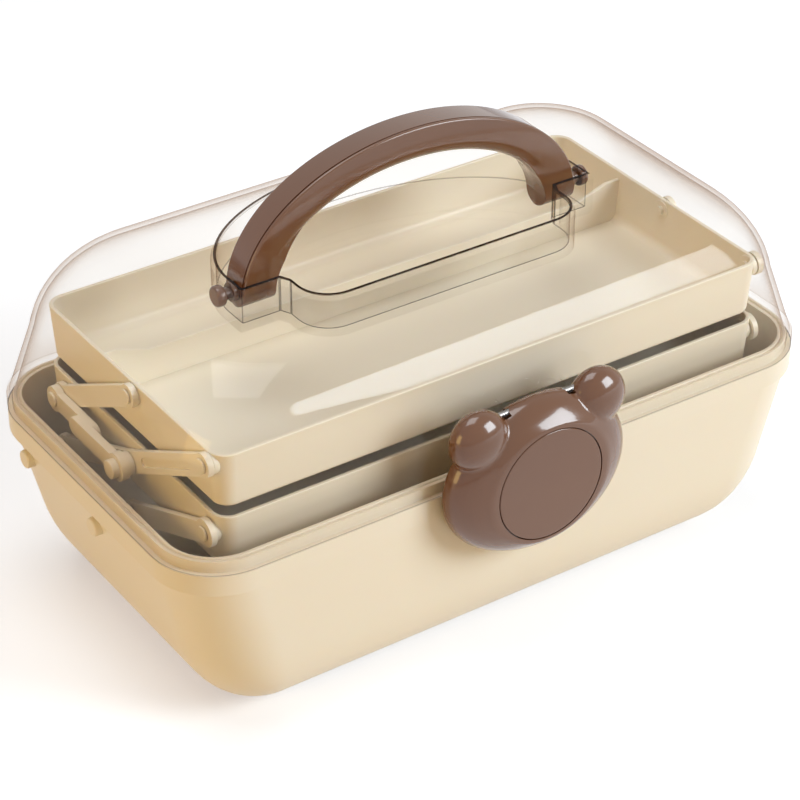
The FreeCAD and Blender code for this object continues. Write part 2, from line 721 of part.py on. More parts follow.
# Handle: an elliptical arch on two round feet, with a peg in each foot
arch_back = d.handle_centre + d.handle_half_width
arch_front = d.handle_centre - d.handle_half_width
arch_centre = d.handle_height - d.handle_arch_drop
foot_inner = d.handle_half_span - d.handle_thick
outer_arch = ellipse_prism("ArchOuter", (0, arch_back, arch_centre), ALONG_FRONT,
                           d.handle_half_span, d.handle_rise, d.handle_half_width * 2)
inner_arch = ellipse_prism("ArchInner", (0, arch_back + d.tool_margin, arch_centre), ALONG_FRONT,
                           foot_inner, d.handle_rise - d.handle_thick,
                           d.handle_half_width * 2 + d.tool_margin * 2)
above_pivot = block("AbovePivot", (-d.handle_half_span - d.tool_margin, arch_front, d.handle_height),
                    (d.handle_half_span + d.tool_margin, arch_back,
                     d.handle_height + d.handle_rise + d.tool_margin))
handle_items = [common("HandleArch", cut("ArchRing", outer_arch, inner_arch), above_pivot)]
handle_holes = []
for side_name, side in SIDES.items():
    foot = side_span(side, foot_inner, d.handle_half_span)
    hole = side_span(side, d.peg_inner - d.pin_lap, d.handle_half_span + d.tool_margin)
    handle_items.append(rod("HandleFoot_" + side_name, *foot, d.handle_centre, d.handle_height,
                            d.handle_half_width))
    handle_holes.append(rod("HandleHole_" + side_name, *hole, d.handle_centre, d.handle_height,
                            d.peg_radius + d.pin_fixed_gap))
    peg = [rod(part + side_name, *side_span(side, start, end), d.handle_centre, d.handle_height, radius)
           for part, start, end, radius in (
               ("PegShaft_", d.peg_inner, d.peg_head_end, d.peg_radius),
               ("PegCollar_", d.handle_half_span + d.pin_lap, d.peg_collar_end, d.peg_collar_radius),
               ("PegHead_", d.peg_head_start, d.peg_head_end, d.peg_head_radius))]
    finish(fuse("Peg_" + side_name, peg), "handle_peg_" + side_name)
finish(cut("HandleFinished", fuse("HandleSolid", handle_items), fuse("HandleHoles", handle_holes)), "handle")


# Trays
def tray(name, rim):
    body = new_body(name)
    bottom = rim - d.tray_height
    outline = [
        (bottom, d.tray_draft),
        (rim, size(0)),
    ]
    outer = [rounded_rectangle(body, "%sOuter%d" % (name, number), height, d.tray_half_length - taper,
                               d.tray_half_depth - taper, d.tray_corner - taper)
             for number, (height, taper) in enumerate(outline)]
    loft(body, name + "Walls", outer)
    inner_outline = [
        (bottom + d.tray_thick, d.tray_draft + d.tray_thick),
        (rim, d.tray_thick),
    ]
    inner = [rounded_rectangle(body, "%sInner%d" % (name, number), height, d.tray_half_length - taper,
                               d.tray_half_depth - taper, d.tray_corner - taper)
             for number, (height, taper) in enumerate(inner_outline)]
    loft(body, name + "Room", inner, additive=False)
    return body


def tray_with_bosses(name, body, extras, pivots, label):
    """Add round bosses at the pivots on both ends and drill them for the fixed pins."""
    bosses = []
    holes = []
    for side_name, side in SIDES.items():
        for tag, (y, z) in pivots.items():
            full = "%s_%s_%s" % (name, side_name, tag)
            boss = side_span(side, d.boss_start, d.boss_face)
            hole = side_span(side, d.boss_start - d.tool_margin, d.boss_face + d.tool_margin)
            bosses.append(rod("Boss_" + full, *boss, y, z, d.boss_radius))
            holes.append(rod("BossHole_" + full, *hole, y, z, d.pin_radius + d.pin_fixed_gap))
    whole = fuse(name + "Whole", [body] + extras + bosses)
    finish(cut(name + "Finished", whole, fuse(name + "Holes", holes)), label)


mid = tray("MidTray", d.mid_tray_rim)
tray_with_bosses("MidTray", mid, [], {"front": MID_FRONT, "centre": MID_CENTRE, "back": MID_BACK},
                 "mid_tray")

top = tray("TopTray", d.top_tray_rim)
tray_floor = d.top_tray_rim - d.tray_height + d.divider_root
divider_end = d.tray_half_length - d.tray_thick * 0.5 - d.divider_end_gap
divider = new_body("Divider")
divider_outline = polygon(divider, "DividerOutline", "XZ_Plane", -d.divider_back - d.divider_thick, [
    (-divider_end + d.tray_draft, tray_floor),
    (divider_end - d.tray_draft, tray_floor),
    (divider_end, d.divider_end_top),
    (d.divider_step_high, d.divider_end_top),
    (d.divider_step_low, d.divider_top),
    (-d.divider_step_low, d.divider_top),
    (-d.divider_step_high, d.divider_end_top),
    (-divider_end, d.divider_end_top),
])
pad(divider, "DividerPad", divider_outline, d.divider_thick)
tray_with_bosses("TopTray", top, [divider], {"front": TOP_FRONT, "back": TOP_BACK}, "top_tray")


# Links of the swing linkage. Each end has a long arm, two short links and a fixed strap.
def link(name, side, bars, bulbs, holes, channel=None):
    low, high = side_span(side, d.link_inner, link_outer)
    body = new_body(name)
    for number, (start, end) in enumerate(bars):
        outline = capsule(body, "%sBar%d" % (name, number), low, start, end, d.link_half_width)
        pad(body, "%sBarPad%d" % (name, number), outline, d.link_thick)
    for number, (centre, radius) in enumerate(bulbs):
        outline = circle(body, "%sBulb%d" % (name, number), "YZ_Plane", low, centre, radius)
        pad(body, "%sBulbPad%d" % (name, number), outline, d.link_thick)
    if channel:
        outer_face = high if side > 0 else low
        outline = capsule(body, name + "Channel", outer_face, channel[0], channel[1],
                          d.link_channel_half_width)
        pocket(body, name + "ChannelPocket", outline, d.link_channel_depth, backwards=side < 0)
    for number, (centre, gap) in enumerate(holes):
        outline = circle(body, "%sHole%d" % (name, number), "YZ_Plane", high, centre, d.pin_radius + gap)
        pocket(body, "%sHolePocket%d" % (name, number), outline, d.link_thick)
    return body


def between(start, end, share):
    return tuple(a + (b - a) * share for a, b in zip(start, end))


# Share of the arm left solid at each end of its channel
CHANNEL_SHARE = 0.2

for side_name, side in SIDES.items():
    turning = d.pin_turning_gap
    finish(link("LongArm_" + side_name, side, [(BASE_BACK, MID_CENTRE), (MID_CENTRE, TOP_FRONT)],
                [(centre, d.link_end_radius) for centre in (BASE_BACK, MID_CENTRE, TOP_FRONT)],
                [(centre, turning) for centre in (BASE_BACK, MID_CENTRE, TOP_FRONT)],
                channel=(between(MID_CENTRE, TOP_FRONT, CHANNEL_SHARE),
                         between(MID_CENTRE, TOP_FRONT, 1 - CHANNEL_SHARE))),
           "long_arm_" + side_name)
    finish(link("FrontLink_" + side_name, side, [(BASE_FRONT, MID_FRONT)],
                [(BASE_FRONT, d.link_end_radius), (MID_FRONT, d.link_bulb_radius)],
                [(BASE_FRONT, turning), (MID_FRONT, d.pin_loose_gap)]),
           "front_link_" + side_name)
    finish(link("BackLink_" + side_name, side, [(MID_BACK, TOP_BACK)],
                [(MID_BACK, d.link_bulb_radius), (TOP_BACK, d.link_end_radius)],
                [(MID_BACK, turning), (TOP_BACK, d.pin_loose_gap)]),
           "rear_link_" + side_name)

    strap_low, strap_high = side_span(side, head_start, head_start + d.strap_thick)
    front_low, front_high = side_span(side, d.strap_front_start, d.strap_front_end)
    boss_low, boss_high = side_span(side, head_start, d.strap_front_start + d.strap_boss_lap)
    strap = new_body("Strap_" + side_name)
    jog_back = (d.strap_jog_front, d.mid_pivot_height)
    jog_front = (d.strap_jog_back, d.mid_pivot_height)
    bar = capsule(strap, "StrapBack_" + side_name, strap_low, MID_BACK, jog_back, d.strap_half_height)
    pad(strap, "StrapBackPad_" + side_name, bar, d.strap_thick)
    bar = capsule(strap, "StrapFront_" + side_name, front_low, jog_front, MID_CENTRE, d.strap_half_height)
    pad(strap, "StrapFrontPad_" + side_name, bar, d.strap_front_end - d.strap_front_start)
    front_thick = d.strap_front_end - d.strap_front_start
    boss_thick = d.strap_front_start + d.strap_boss_lap - head_start
    for tag, low, length, centre, radius in (
            ("BackEnd", strap_low, d.strap_thick, MID_BACK, d.strap_back_radius),
            ("FrontEnd", front_low, front_thick, MID_CENTRE, d.strap_front_radius),
            ("Boss", boss_low, boss_thick, MID_CENTRE, d.link_end_radius)):
        outline = circle(strap, "Strap%s_%s" % (tag, side_name), "YZ_Plane", low, centre, radius)
        pad(strap, "Strap%sPad_%s" % (tag, side_name), outline, length)
    for tag, top_x, length, centre in (
            ("Back", strap_high, d.strap_thick, MID_BACK),
            ("Front", front_high, d.strap_front_end - head_start + d.pin_lap * 2, MID_CENTRE)):
        start_x = top_x
        if side < 0 and tag == "Front":
            start_x = boss_high + d.pin_lap
        outline = circle(strap, "StrapHole%s_%s" % (tag, side_name), "YZ_Plane", start_x, centre,
                         d.pin_radius + d.pin_fixed_gap)
        pocket(strap, "StrapHolePocket%s_%s" % (tag, side_name), outline, length)
    finish(strap, "strap_" + side_name)

    for label, (y, z), shaft_end, head_end, head_radius in (
            ("mid_front_pin_", MID_FRONT, head_start, head_start + d.pin_head_thick, d.pin_head_radius),
            ("mid_centre_pin_", MID_CENTRE, d.strap_front_end, d.strap_pin_head_end, d.base_pin_radius),
            ("mid_rear_pin_", MID_BACK, head_start + d.strap_thick,
             head_start + d.strap_thick + d.strap_pin_head_thick,
             d.pin_head_radius),
            ("top_front_pin_", TOP_FRONT, head_start, head_start + d.pin_head_thick, d.pin_head_radius),
            ("top_rear_pin_", TOP_BACK, head_start, head_start + d.pin_head_thick, d.pin_head_radius)):
        name = label.title().replace("_", "") + side_name
        span = side_span(side, d.boss_start - d.pin_root, shaft_end + d.pin_lap)
        shaft = rod(name + "Shaft", *span, y, z, d.pin_radius)
        head = rod(name + "Head", *side_span(side, shaft_end, head_end), y, z, head_radius)
        finish(fuse(name, [shaft, head]), label + side_name)


# Latch: domed head with two round ears, a hollow back, a hook and a slotted hinge
def ellipse_section(name, forward, half_width, half_height, centre):
    return placed("Part::Ellipse", name, (0, -forward, centre), ALONG_FRONT,
                  MajorRadius=half_width, MinorRadius=half_height)


head_sections = [
    ("HeadBack", d.latch_back, 1.2, 1.2, 0.0),
    ("HeadWide", d.latch_back + 2.8, 0.0, 0.0, 0.0),
    ("HeadTurn", d.latch_back + 6.8, 1.0, 1.0, 0.0),
    ("HeadShoulder", d.latch_back + 10.6, 4.6, 3.4, 0.1),
    ("HeadBrow", d.latch_back + 13.4, 9.6, 6.2, 0.2),
    ("HeadFace", d.latch_front - 0.3, 13.6, 7.8, 0.3),
    ("HeadFront", d.latch_front, 15.6, 8.6, 0.4),
]
sections = [ellipse_section(name, forward, d.latch_half_width - narrow, d.latch_half_height - low,
                            d.latch_centre_height - drop)
            for name, forward, narrow, low, drop in head_sections]
head = doc.addObject("Part::Loft", "LatchHead")
head.Sections = sections
head.Solid = True
latch_items = [head]
for side_name, side in SIDES.items():
    ear = placed("Part::Ellipsoid", "Ear_" + side_name,
                 (d.latch_ear_offset * side, -d.latch_ear_forward, d.latch_ear_height), ALONG_FRONT,
                 Radius1=d.latch_ear_depth, Radius2=d.latch_ear_radius, Radius3=d.latch_ear_radius)
    latch_items.append(ear)
solid_latch = fuse("LatchSolid", latch_items)

hollow = doc.addObject("Part::Loft", "LatchHollow")
hollow.Sections = [
    ellipse_section("HollowMouth", d.latch_back - d.tool_margin, d.latch_hollow_half_width,
                    d.latch_hollow_half_height, d.latch_hollow_height),
    ellipse_section("HollowEnd", d.latch_back + d.latch_hollow_depth, d.latch_hollow_end_half_width,
                    d.latch_hollow_end_half_height, d.latch_hollow_height),
]
hollow.Solid = True
hollow.Ruled = True
recess = placed("Part::Cylinder", "DiscRecess", (0, -d.latch_front + d.disc_recess_depth, d.disc_height),
                ALONG_FRONT, Radius=d.disc_recess_radius, Height=d.disc_recess_depth * 2)
latch_top = d.latch_ear_height + d.latch_ear_radius + d.tool_margin
behind = block(
    "BehindLatch",
    (-d.latch_half_width - d.tool_margin, -d.latch_back, d.latch_centre_height - d.latch_half_width),
    (d.latch_half_width + d.tool_margin, -d.latch_back + d.latch_ear_radius, latch_top))
latch_tools = [hollow, recess, behind]
for side_name, side in SIDES.items():
    low, high = side_span(side, d.latch_lug_inner - d.side_gap, d.latch_lug_outer + d.side_gap)
    latch_tools.append(block(
        "HingeSlot_" + side_name,
        (low, -d.latch_axis_forward - d.latch_slot_reach, d.latch_axis_height - d.latch_slot_reach),
        (high, -d.latch_back + d.tool_margin, latch_top)))
latch_tools.append(rod("LatchBore", -d.latch_pin_half_length, d.latch_pin_half_length, -d.latch_axis_forward,
                       d.latch_axis_height, d.latch_pin_radius + d.pin_turning_gap))
open_latch = cut("LatchOpen", solid_latch, fuse("LatchTools", latch_tools))
hook = block("LatchHook",
             (-d.hook_half_width, -d.latch_back - d.latch_hollow_depth - d.hook_root, d.hook_low),
             (d.hook_half_width, -d.hook_reach, d.hook_high))
finish(fuse("LatchFinished", [open_latch, hook]), "latch_body")
finish(placed("Part::Cylinder", "LatchDisc", (0, -d.latch_front + d.disc_recess_depth, d.disc_height),
              ALONG_FRONT, Radius=d.disc_radius, Height=d.disc_recess_depth + d.disc_proud), "latch_disc")

doc.recompute()

for item in doc.Objects:
    if "Invalid" in item.State or "Error" in item.State:
        raise RuntimeError("%s is %s" % (item.Name, item.State))
for item in finished:
    if item.Shape.isNull() or not item.Shape.isValid():
        raise RuntimeError("%s has no valid shape" % item.Label)
for item in finished:
    item.Shape.exportStep("parts/%s.step" % item.Label)
    edges = item.Shape.BoundBox
    print(item.Label, len(item.Shape.Solids), round(item.Shape.Volume, 1),
          [round(v, 1) for v in (edges.XMin, edges.XMax, edges.YMin, edges.YMax, edges.ZMin, edges.ZMax)])
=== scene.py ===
import math

import bmesh
import bpy
from bpy.props import FloatProperty, FloatVectorProperty, IntProperty, PointerProperty
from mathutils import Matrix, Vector


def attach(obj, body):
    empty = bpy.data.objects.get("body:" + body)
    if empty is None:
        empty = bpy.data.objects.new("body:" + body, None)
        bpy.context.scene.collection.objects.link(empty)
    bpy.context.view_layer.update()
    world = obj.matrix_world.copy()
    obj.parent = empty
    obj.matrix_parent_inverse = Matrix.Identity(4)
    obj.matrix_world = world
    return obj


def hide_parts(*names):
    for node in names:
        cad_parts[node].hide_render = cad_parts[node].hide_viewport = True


bl_info = {
    "name": "Organizer Box Maker",
    "version": (1, 0, 0),
    "blender": (4, 5, 0),
    "location": "3D View > Sidebar > Organizer",
    "description": "Models a carry box with a clear lid, two swing trays, a top handle and a front latch",
    "category": "Add Mesh",
}

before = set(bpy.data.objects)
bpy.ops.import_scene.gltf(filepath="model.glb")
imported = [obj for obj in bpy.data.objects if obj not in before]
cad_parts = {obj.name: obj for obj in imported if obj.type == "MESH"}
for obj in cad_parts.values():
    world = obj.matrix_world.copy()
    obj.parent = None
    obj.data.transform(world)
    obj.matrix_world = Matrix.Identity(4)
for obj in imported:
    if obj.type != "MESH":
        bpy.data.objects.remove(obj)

MM = 0.001
SIDES = {"left": -1, "right": 1}


def length(name, millimetres, description):
    return FloatProperty(name=name, description=description, default=millimetres * MM, min=0.0,
                         subtype="DISTANCE", unit="LENGTH", precision=4)


def lengths(name, millimetres, description):
    return FloatVectorProperty(name=name, description=description, default=[value * MM for value in millimetres],
                               size=len(millimetres), min=0.0, unit="LENGTH", precision=4)


def colour(name, value, description):
    return FloatVectorProperty(name=name, description=description, default=value, size=3, min=0.0, max=1.0,
                               subtype="COLOR")


# An outline is a rounded rectangle: height, half length, half depth and corner radius
class TubSizes(bpy.types.PropertyGroup):
    foot: lengths("Foot", (38.5, 143.5, 82.1, 30.0), "Outline where the rounded foot meets the sloping wall")
    end_inset: length("End inset", 24.8, "How far the foot draws in at each end")
    front_inset: length("Front inset", 31.0, "How far the foot draws in at front and back")
    wall: length("Wall", 2.4, "Thickness of the wall and the floor")
    wall_top: lengths("Wall top", (75.0, 151.4, 83.9, 28.2), "Outline under the outer band")
    band: lengths("Band", (84.3, 153.8, 84.4, 28.8), "Outline of the outer band's top")
    step: length("Rim step", 2.6, "How far the inner rim stands back from the band")
    channel: length("Rim channel", 0.8, "Depth of the fine channel in the rim")
    mouth: lengths("Mouth", (89.3, 147.2, 77.9, 21.4), "Outline of the mouth at the rim's top")
    mouth_foot: length("Mouth foot", 74.0, "Height where the mouth's upright wall ends")


class LidSizes(bpy.types.PropertyGroup):
    skirt_bottom: length("Skirt bottom", 84.6, "Lower edge of the skirt, which is as wide as the base's band")
    foot: lengths("Foot", (91.0, 152.6, 82.9, 26.5), "Outline just above the skirt")
    shoulder: lengths("Shoulder", (121.0, 145.5, 82.0, 37.0), "Outline where the dome starts to round")
    rise: length("Dome rise", 35.0, "Height of the dome above the shoulder")
    end_inset: length("End inset", 27.5, "How far the dome draws in at each end")
    front_inset: length("Front inset", 33.1, "How far the dome draws in at front and back")
    wall: length("Wall", 2.0, "Thickness of the clear wall")
    well_floor: length("Well floor", 140.0, "Height of the floor of the handle well")
    well_reach: length("Well reach", 83.8, "Half length of the handle well")
    well_back: length("Well back", 53.3, "How far the oval back of the well reaches behind its middle line")
    well_middle: length("Well middle line", 0.2, "Set-back of the well's widest line")


class TraySizes(bpy.types.PropertyGroup):
    mid_rim: lengths("Middle tray rim", (99.4, 131.0, 69.4, 8.0), "Outline of the middle tray's rim")
    top_rim: lengths("Top tray rim", (127.4, 131.0, 69.4, 8.0), "Outline of the top tray's rim")
    height: length("Height", 24.6, "Height of a tray")
    draft: length("Draft", 1.4, "How much a tray narrows towards its floor")
    wall: length("Wall", 1.8, "Thickness of a tray's wall")


class LinkSizes(bpy.types.PropertyGroup):
    inner: length("Inner face", 131.4, "Distance of a link's inner face from the middle")
    thick: length("Thickness", 2.6, "Thickness of a link")
    half_width: length("Half width", 4.6, "Half width of a link's bar")
    end: length("End radius", 5.0, "Radius of a link's round end")
    bulb: length("Bulb radius", 6.0, "Radius of a link's larger round end")
    pin: length("Pin radius", 2.0, "Radius of a pivot pin")


class HandleSizes(bpy.types.PropertyGroup):
    pivot_y: length("Pivot set-back", 0.7, "How far the pivot is behind the middle")
    pivot_z: length("Pivot height", 149.0, "Height of the pivot")
    drop: length("Arch drop", 2.8, "How far the middle of the arch's oval is below the pivot")
    half_span: length("Half span", 80.9, "Half the outer span of the arch")
    rise: length("Rise", 53.1, "Height of the arch above the middle of its oval")
    thick: length("Thickness", 15.3, "Thickness of the arch")
    half_width: length("Half width", 7.0, "Half the width of the arch from front to back, and the foot's radius")
    belly: length("Belly radius", 5.6, "Radius of the arch's inner corners")
    groove: length("Groove width", 0.7, "Width of the thin groove beside the front edge")
    peg: length("Peg radius", 2.5, "Radius of a pivot peg")
    peg_head: length("Peg head radius", 4.4, "Radius of a peg's round head")
    collar: length("Collar radius", 4.2, "Radius of a peg's collar")
    peg_run: lengths("Peg run", (73.0, 90.0), "Where a peg starts and ends, from the middle")
    collar_run: lengths("Collar run", (81.0, 83.1), "Where a peg's collar starts and ends, from the middle")
    head_run: lengths("Head run", (86.1, 90.2), "Where a peg's head starts and ends, from the middle")


class LatchSizes(bpy.types.PropertyGroup):
    back: length("Back", 86.2, "Distance of the latch's back from the middle")
    half_width: length("Half width", 43.0, "Half the width of the latch")
    half_height: length("Half height", 34.8, "Half the height of the latch")
    centre: length("Centre height", 84.7, "Height of the middle of the latch")
    ear: length("Ear radius", 13.0, "Radius of a round ear")
    ear_depth: length("Ear depth", 8.5, "Half the depth of an ear from front to back")
    ear_place: lengths("Ear place", (28.5, 91.5, 110.0), "Middle of an ear: out to the side, forward and up")
    disc: length("Disc radius", 24.7, "Radius of the round front disc")


class FinishColours(bpy.types.PropertyGroup):
    cream: colour("Cream", (0.86, 0.795, 0.67), "Colour of the trays, the links and the base")
    cream_shade: colour("Cream shade", (0.82, 0.73, 0.58), "Darker tone of the cream plastic's slow mottling")
    brown: colour("Brown", (0.135, 0.052, 0.019), "Colour of the handle and the latch")
    brown_light: colour("Brown light", (0.180, 0.075, 0.030), "Lighter tone of the brown plastic")
    clear: colour("Clear", (0.992, 0.987, 0.978), "Tint of the clear lid seen straight on")
    # Painted shade: this brown, taken where the lid's wall is seen at a slant, stands in for the shaded inside seen
    # bent through the wall
    clear_slant_painted_shade: colour("Clear slant", (0.50, 0.34, 0.22), "Tint of the clear lid where its wall is seen at a slant")
    # Painted shade: this dark brown on the marked beads, well walls and skirt edge stands in for the clear wall's
    # edges seen bent against the shaded inside
    clear_edge_painted_shade: colour("Clear edge", (0.085, 0.045, 0.025), "Tint of the clear lid's beads and lower edge")
    steel: colour("Steel", (0.30, 0.29, 0.28), "Colour of the hinge pins")
    steel_line: colour("Steel line", (0.20, 0.19, 0.18), "Darker tone of the lines along the hinge pins")
    floor: colour("Floor", (0.93, 0.93, 0.93), "Colour of the floor")
    floor_tooth: colour("Floor tooth", (0.90, 0.90, 0.90), "Darker tone of the floor's faint tooth")
    floor_bounce: colour("Floor bounce", (0.78, 0.64, 0.44), "Tone of the light that the floor throws back up")
    floor_lift: colour("Floor lift", (0.30, 0.35, 0.42), "Glow that lifts the seen floor to white")


class StageSettings(bpy.types.PropertyGroup):
    camera_place: FloatVectorProperty(name="Camera place", description="Where the camera stands", size=3,
                                      default=(-0.5359, -0.7896, 0.6934), subtype="TRANSLATION", unit="LENGTH")
    azimuth: FloatProperty(name="Azimuth", description="Camera direction round the box", default=math.radians(-34.01),
                           subtype="ANGLE", unit="ROTATION")
    elevation: FloatProperty(name="Elevation", description="Camera angle above the floor",
                             default=math.radians(33.21), subtype="ANGLE", unit="ROTATION")
    lens: FloatProperty(name="Lens", description="Focal length on a 36 mm sensor", default=121.9, min=10.0)
    segments: IntProperty(name="Corner steps", description="Steps in each rounded corner", default=12, min=4, max=32)


GROUPS = {
    "tub_sizes": TubSizes,
    "lid_sizes": LidSizes,
    "tray_sizes": TraySizes,
    "link_sizes": LinkSizes,
    "handle_sizes": HandleSizes,
    "latch_sizes": LatchSizes,
    "finish_colours": FinishColours,
    "stage_settings": StageSettings,
}


def keys_of(group):
    return [key for key in group.bl_rna.properties.keys() if key not in ("rna_type", "name")]


class Millimetres:
    """The lengths of one property group in millimetres."""

    def __init__(self, name):
        group = getattr(bpy.context.scene, name)
        for key in keys_of(group):
            value = getattr(group, key)
            single = isinstance(value, float)
            setattr(self, key, round(value / MM, 4) if single else tuple(round(part / MM, 4) for part in value))


# Shader maths
class Signal:
    """A socket of a material, with arithmetic that adds the Math nodes it needs."""

    def __init__(self, tree, socket):
        self.tree = tree
        self.socket = socket

    def math(self, operation, *values):
        node = self.tree.nodes.new("ShaderNodeMath")
        node.operation = operation
        for number, value in enumerate(values):
            plug(self.tree, value, node.inputs[number])
        return Signal(self.tree, node.outputs[0])

    def __add__(self, other):
        return self.math("ADD", self, other)

    def __sub__(self, other):
        return self.math("SUBTRACT", self, other)

    def clamp(self):
        return self.math("MINIMUM", self.math("MAXIMUM", self, 0.0), 1.0)

    def __rsub__(self, other):
        return self.math("SUBTRACT", other, self)

    def __mul__(self, other):
        return self.math("MULTIPLY", self, other)

    def __truediv__(self, other):
        return self.math("DIVIDE", self, other)

    def __pow__(self, other):
        return self.math("POWER", self, other)

    __radd__ = __add__
    __rmul__ = __mul__


def plug(tree, value, target):
    """Links a Signal into a socket, or sets the socket to a plain value."""
    if isinstance(value, Signal):
        tree.links.new(value.socket, target)
    elif target.type == "RGBA":
        target.default_value = (*value, 1.0)
    else:
        target.default_value = value


class Finish:
    """A node material built up from named nodes."""

    def __init__(self, name):
        self.material = bpy.data.materials.new(name)
        self.material.use_nodes = True
        self.tree = self.material.node_tree
        self.tree.nodes.clear()
        self.place = self.node("TexCoord", output="Object")

    def node(self, kind, settings=None, output=0, **inputs):
        """Adds one node, sets its settings, fills its inputs and gives one of its outputs."""
        made = self.tree.nodes.new("ShaderNode" + kind)
        for key, value in (settings or {}).items():
            setattr(made, key, value)
        for key, value in inputs.items():
            plug(self.tree, value, self.find_input(made, key))
        return Signal(self.tree, made.outputs[output])

    def find_input(self, made, key):
        if key[0] == "_":
            return made.inputs[int(key[1:])]
        words = key.replace("_", " ")
        for socket in made.inputs:
            if socket.enabled and socket.name.lower() == words:
                return socket
        raise KeyError("%s has no input %s" % (made.bl_idname, key))

    def noise(self, per_metre, detail=2.0):
        return self.node("TexNoise", output="Fac", vector=self.place, scale=per_metre, detail=detail)

    def mix(self, share, first, second):
        """A colour between two colours."""
        node = self.tree.nodes.new("ShaderNodeMix")
        node.data_type = "RGBA"
        plug(self.tree, share, node.inputs["Factor"])
        colour_inputs = [socket for socket in node.inputs if socket.type == "RGBA"]
        plug(self.tree, first, colour_inputs[0])
        plug(self.tree, second, colour_inputs[1])
        result = [socket for socket in node.outputs if socket.type == "RGBA"][0]
        return Signal(self.tree, result)

    def bump(self, height, strength, depth):
        return self.node("Bump", output="Normal", strength=strength, distance=depth, height=height)

    def output(self, shader):
        node = self.tree.nodes.new("ShaderNodeOutputMaterial")
        self.tree.links.new(shader.socket, node.inputs["Surface"])
        return self.material


def cream_plastic(colours):
    """Satin moulded plastic: slow tone mottling, fine grain and small changes of gloss."""
    finish = Finish("cream_plastic")
    slow = finish.noise(14.0, 3.0)
    grain = finish.noise(2600.0, 2.0)
    skin = finish.noise(260.0, 3.0)
    tone = finish.mix((slow - 0.35) * 0.5, tuple(colours.cream), tuple(colours.cream_shade))
    height = grain * 0.5 + skin
    shader = finish.node(
        "BsdfPrincipled", base_color=tone, roughness=slow * 0.08 + grain * 0.06 + 0.30,
        subsurface_weight=0.12, subsurface_radius=(1.0, 0.55, 0.25), subsurface_scale=0.004,
        normal=finish.bump(height, 0.25, 0.00004))
    return finish.output(shader)


def brown_plastic(colours):
    """Glossy moulded plastic with a clear skin and very slight flow marks."""
    finish = Finish("brown_plastic")
    slow = finish.noise(22.0, 3.0)
    skin = finish.noise(120.0, 2.0)
    grain = finish.noise(1900.0, 2.0)
    tone = finish.mix(slow * 0.7, tuple(colours.brown), tuple(colours.brown_light))
    shader = finish.node(
        "BsdfPrincipled", base_color=tone, roughness=slow * 0.05 + grain * 0.04 + 0.12,
        specular_ior_level=0.45, coat_weight=0.5, coat_roughness=0.02,
        normal=finish.bump(skin + grain * 0.2, 0.12, 0.00005))
    return finish.output(shader)


def clear_plastic(colours):
    """Thin clear moulded plastic: a light tint straight on, a painted brown shade where the wall is seen edge on, a
    painted shade band low on the wall, painted dark lines on the marked beads and edges, and gloss.
    """
    finish = Finish("clear_plastic")
    slow = finish.noise(30.0, 2.0)
    fine = finish.noise(900.0, 2.0)
    waves = finish.bump(slow, 0.05, 0.0002)
    slant = finish.node("LayerWeight", output="Facing", blend=0.5, normal=waves)
    height = finish.node("SeparateXYZ", output="Z", vector=finish.place)
    # Painted shade: a band of the wall from 90.5 to 104 mm up takes some of the slant's brown, standing in for the
    # shade on the middle tray's front and between the links seen through it
    painted_shade_top, painted_shade_foot = 0.104, 0.0905
    low = ((painted_shade_top - height) / 0.013).clamp() * ((height - painted_shade_foot) / 0.002).clamp()
    # Painted shade: the marked faces take a dark brown, painted lines that stand in for the clear wall's edges seen
    # bent against the shaded inside
    painted_edge_shade_mask = finish.node("Attribute", {"attribute_name": "painted_edge_shade"}, output="Fac")
    straight = finish.node("BsdfTransparent", color=tuple(colours.clear))
    # Painted shade: brown where the wall is seen at a slant, standing in for the shaded inside that a real wall shows
    # bent through it edge on
    slant_painted_shade = finish.node("BsdfTransparent", color=tuple(colours.clear_slant_painted_shade))
    painted_edge_shade_bsdf = finish.node("BsdfTransparent", color=tuple(colours.clear_edge_painted_shade))
    through = finish.node("MixShader", _0=slant ** 5.0 * 0.95 + low * 0.15, _1=straight, _2=slant_painted_shade)
    through = finish.node("MixShader", _0=painted_edge_shade_mask, _1=through, _2=painted_edge_shade_bsdf)
    gloss = finish.node("BsdfPrincipled", base_color=(0.9, 0.9, 0.9), metallic=1.0,
                        roughness=slow * 0.03 + fine * 0.015 + 0.015, normal=waves)
    share = slant ** 5.0 * 0.25 + 0.014
    return finish.output(finish.node("MixShader", _0=share, _1=through, _2=gloss))


def pin_steel(colours):
    """Drawn steel wire with fine lines along its length."""
    finish = Finish("pin_steel")
    stretched = finish.node("Mapping", output="Vector", vector=finish.place, scale=(40.0, 2400.0, 2400.0))
    lines = finish.node("TexNoise", output="Fac", vector=stretched, scale=1.0, detail=2.0)
    tone = finish.mix(lines * 0.4, tuple(colours.steel), tuple(colours.steel_line))
    shader = finish.node("BsdfPrincipled", base_color=tone, metallic=1.0, roughness=lines * 0.18 + 0.22,
                         normal=finish.bump(lines, 0.2, 0.00003))
    return finish.output(shader)


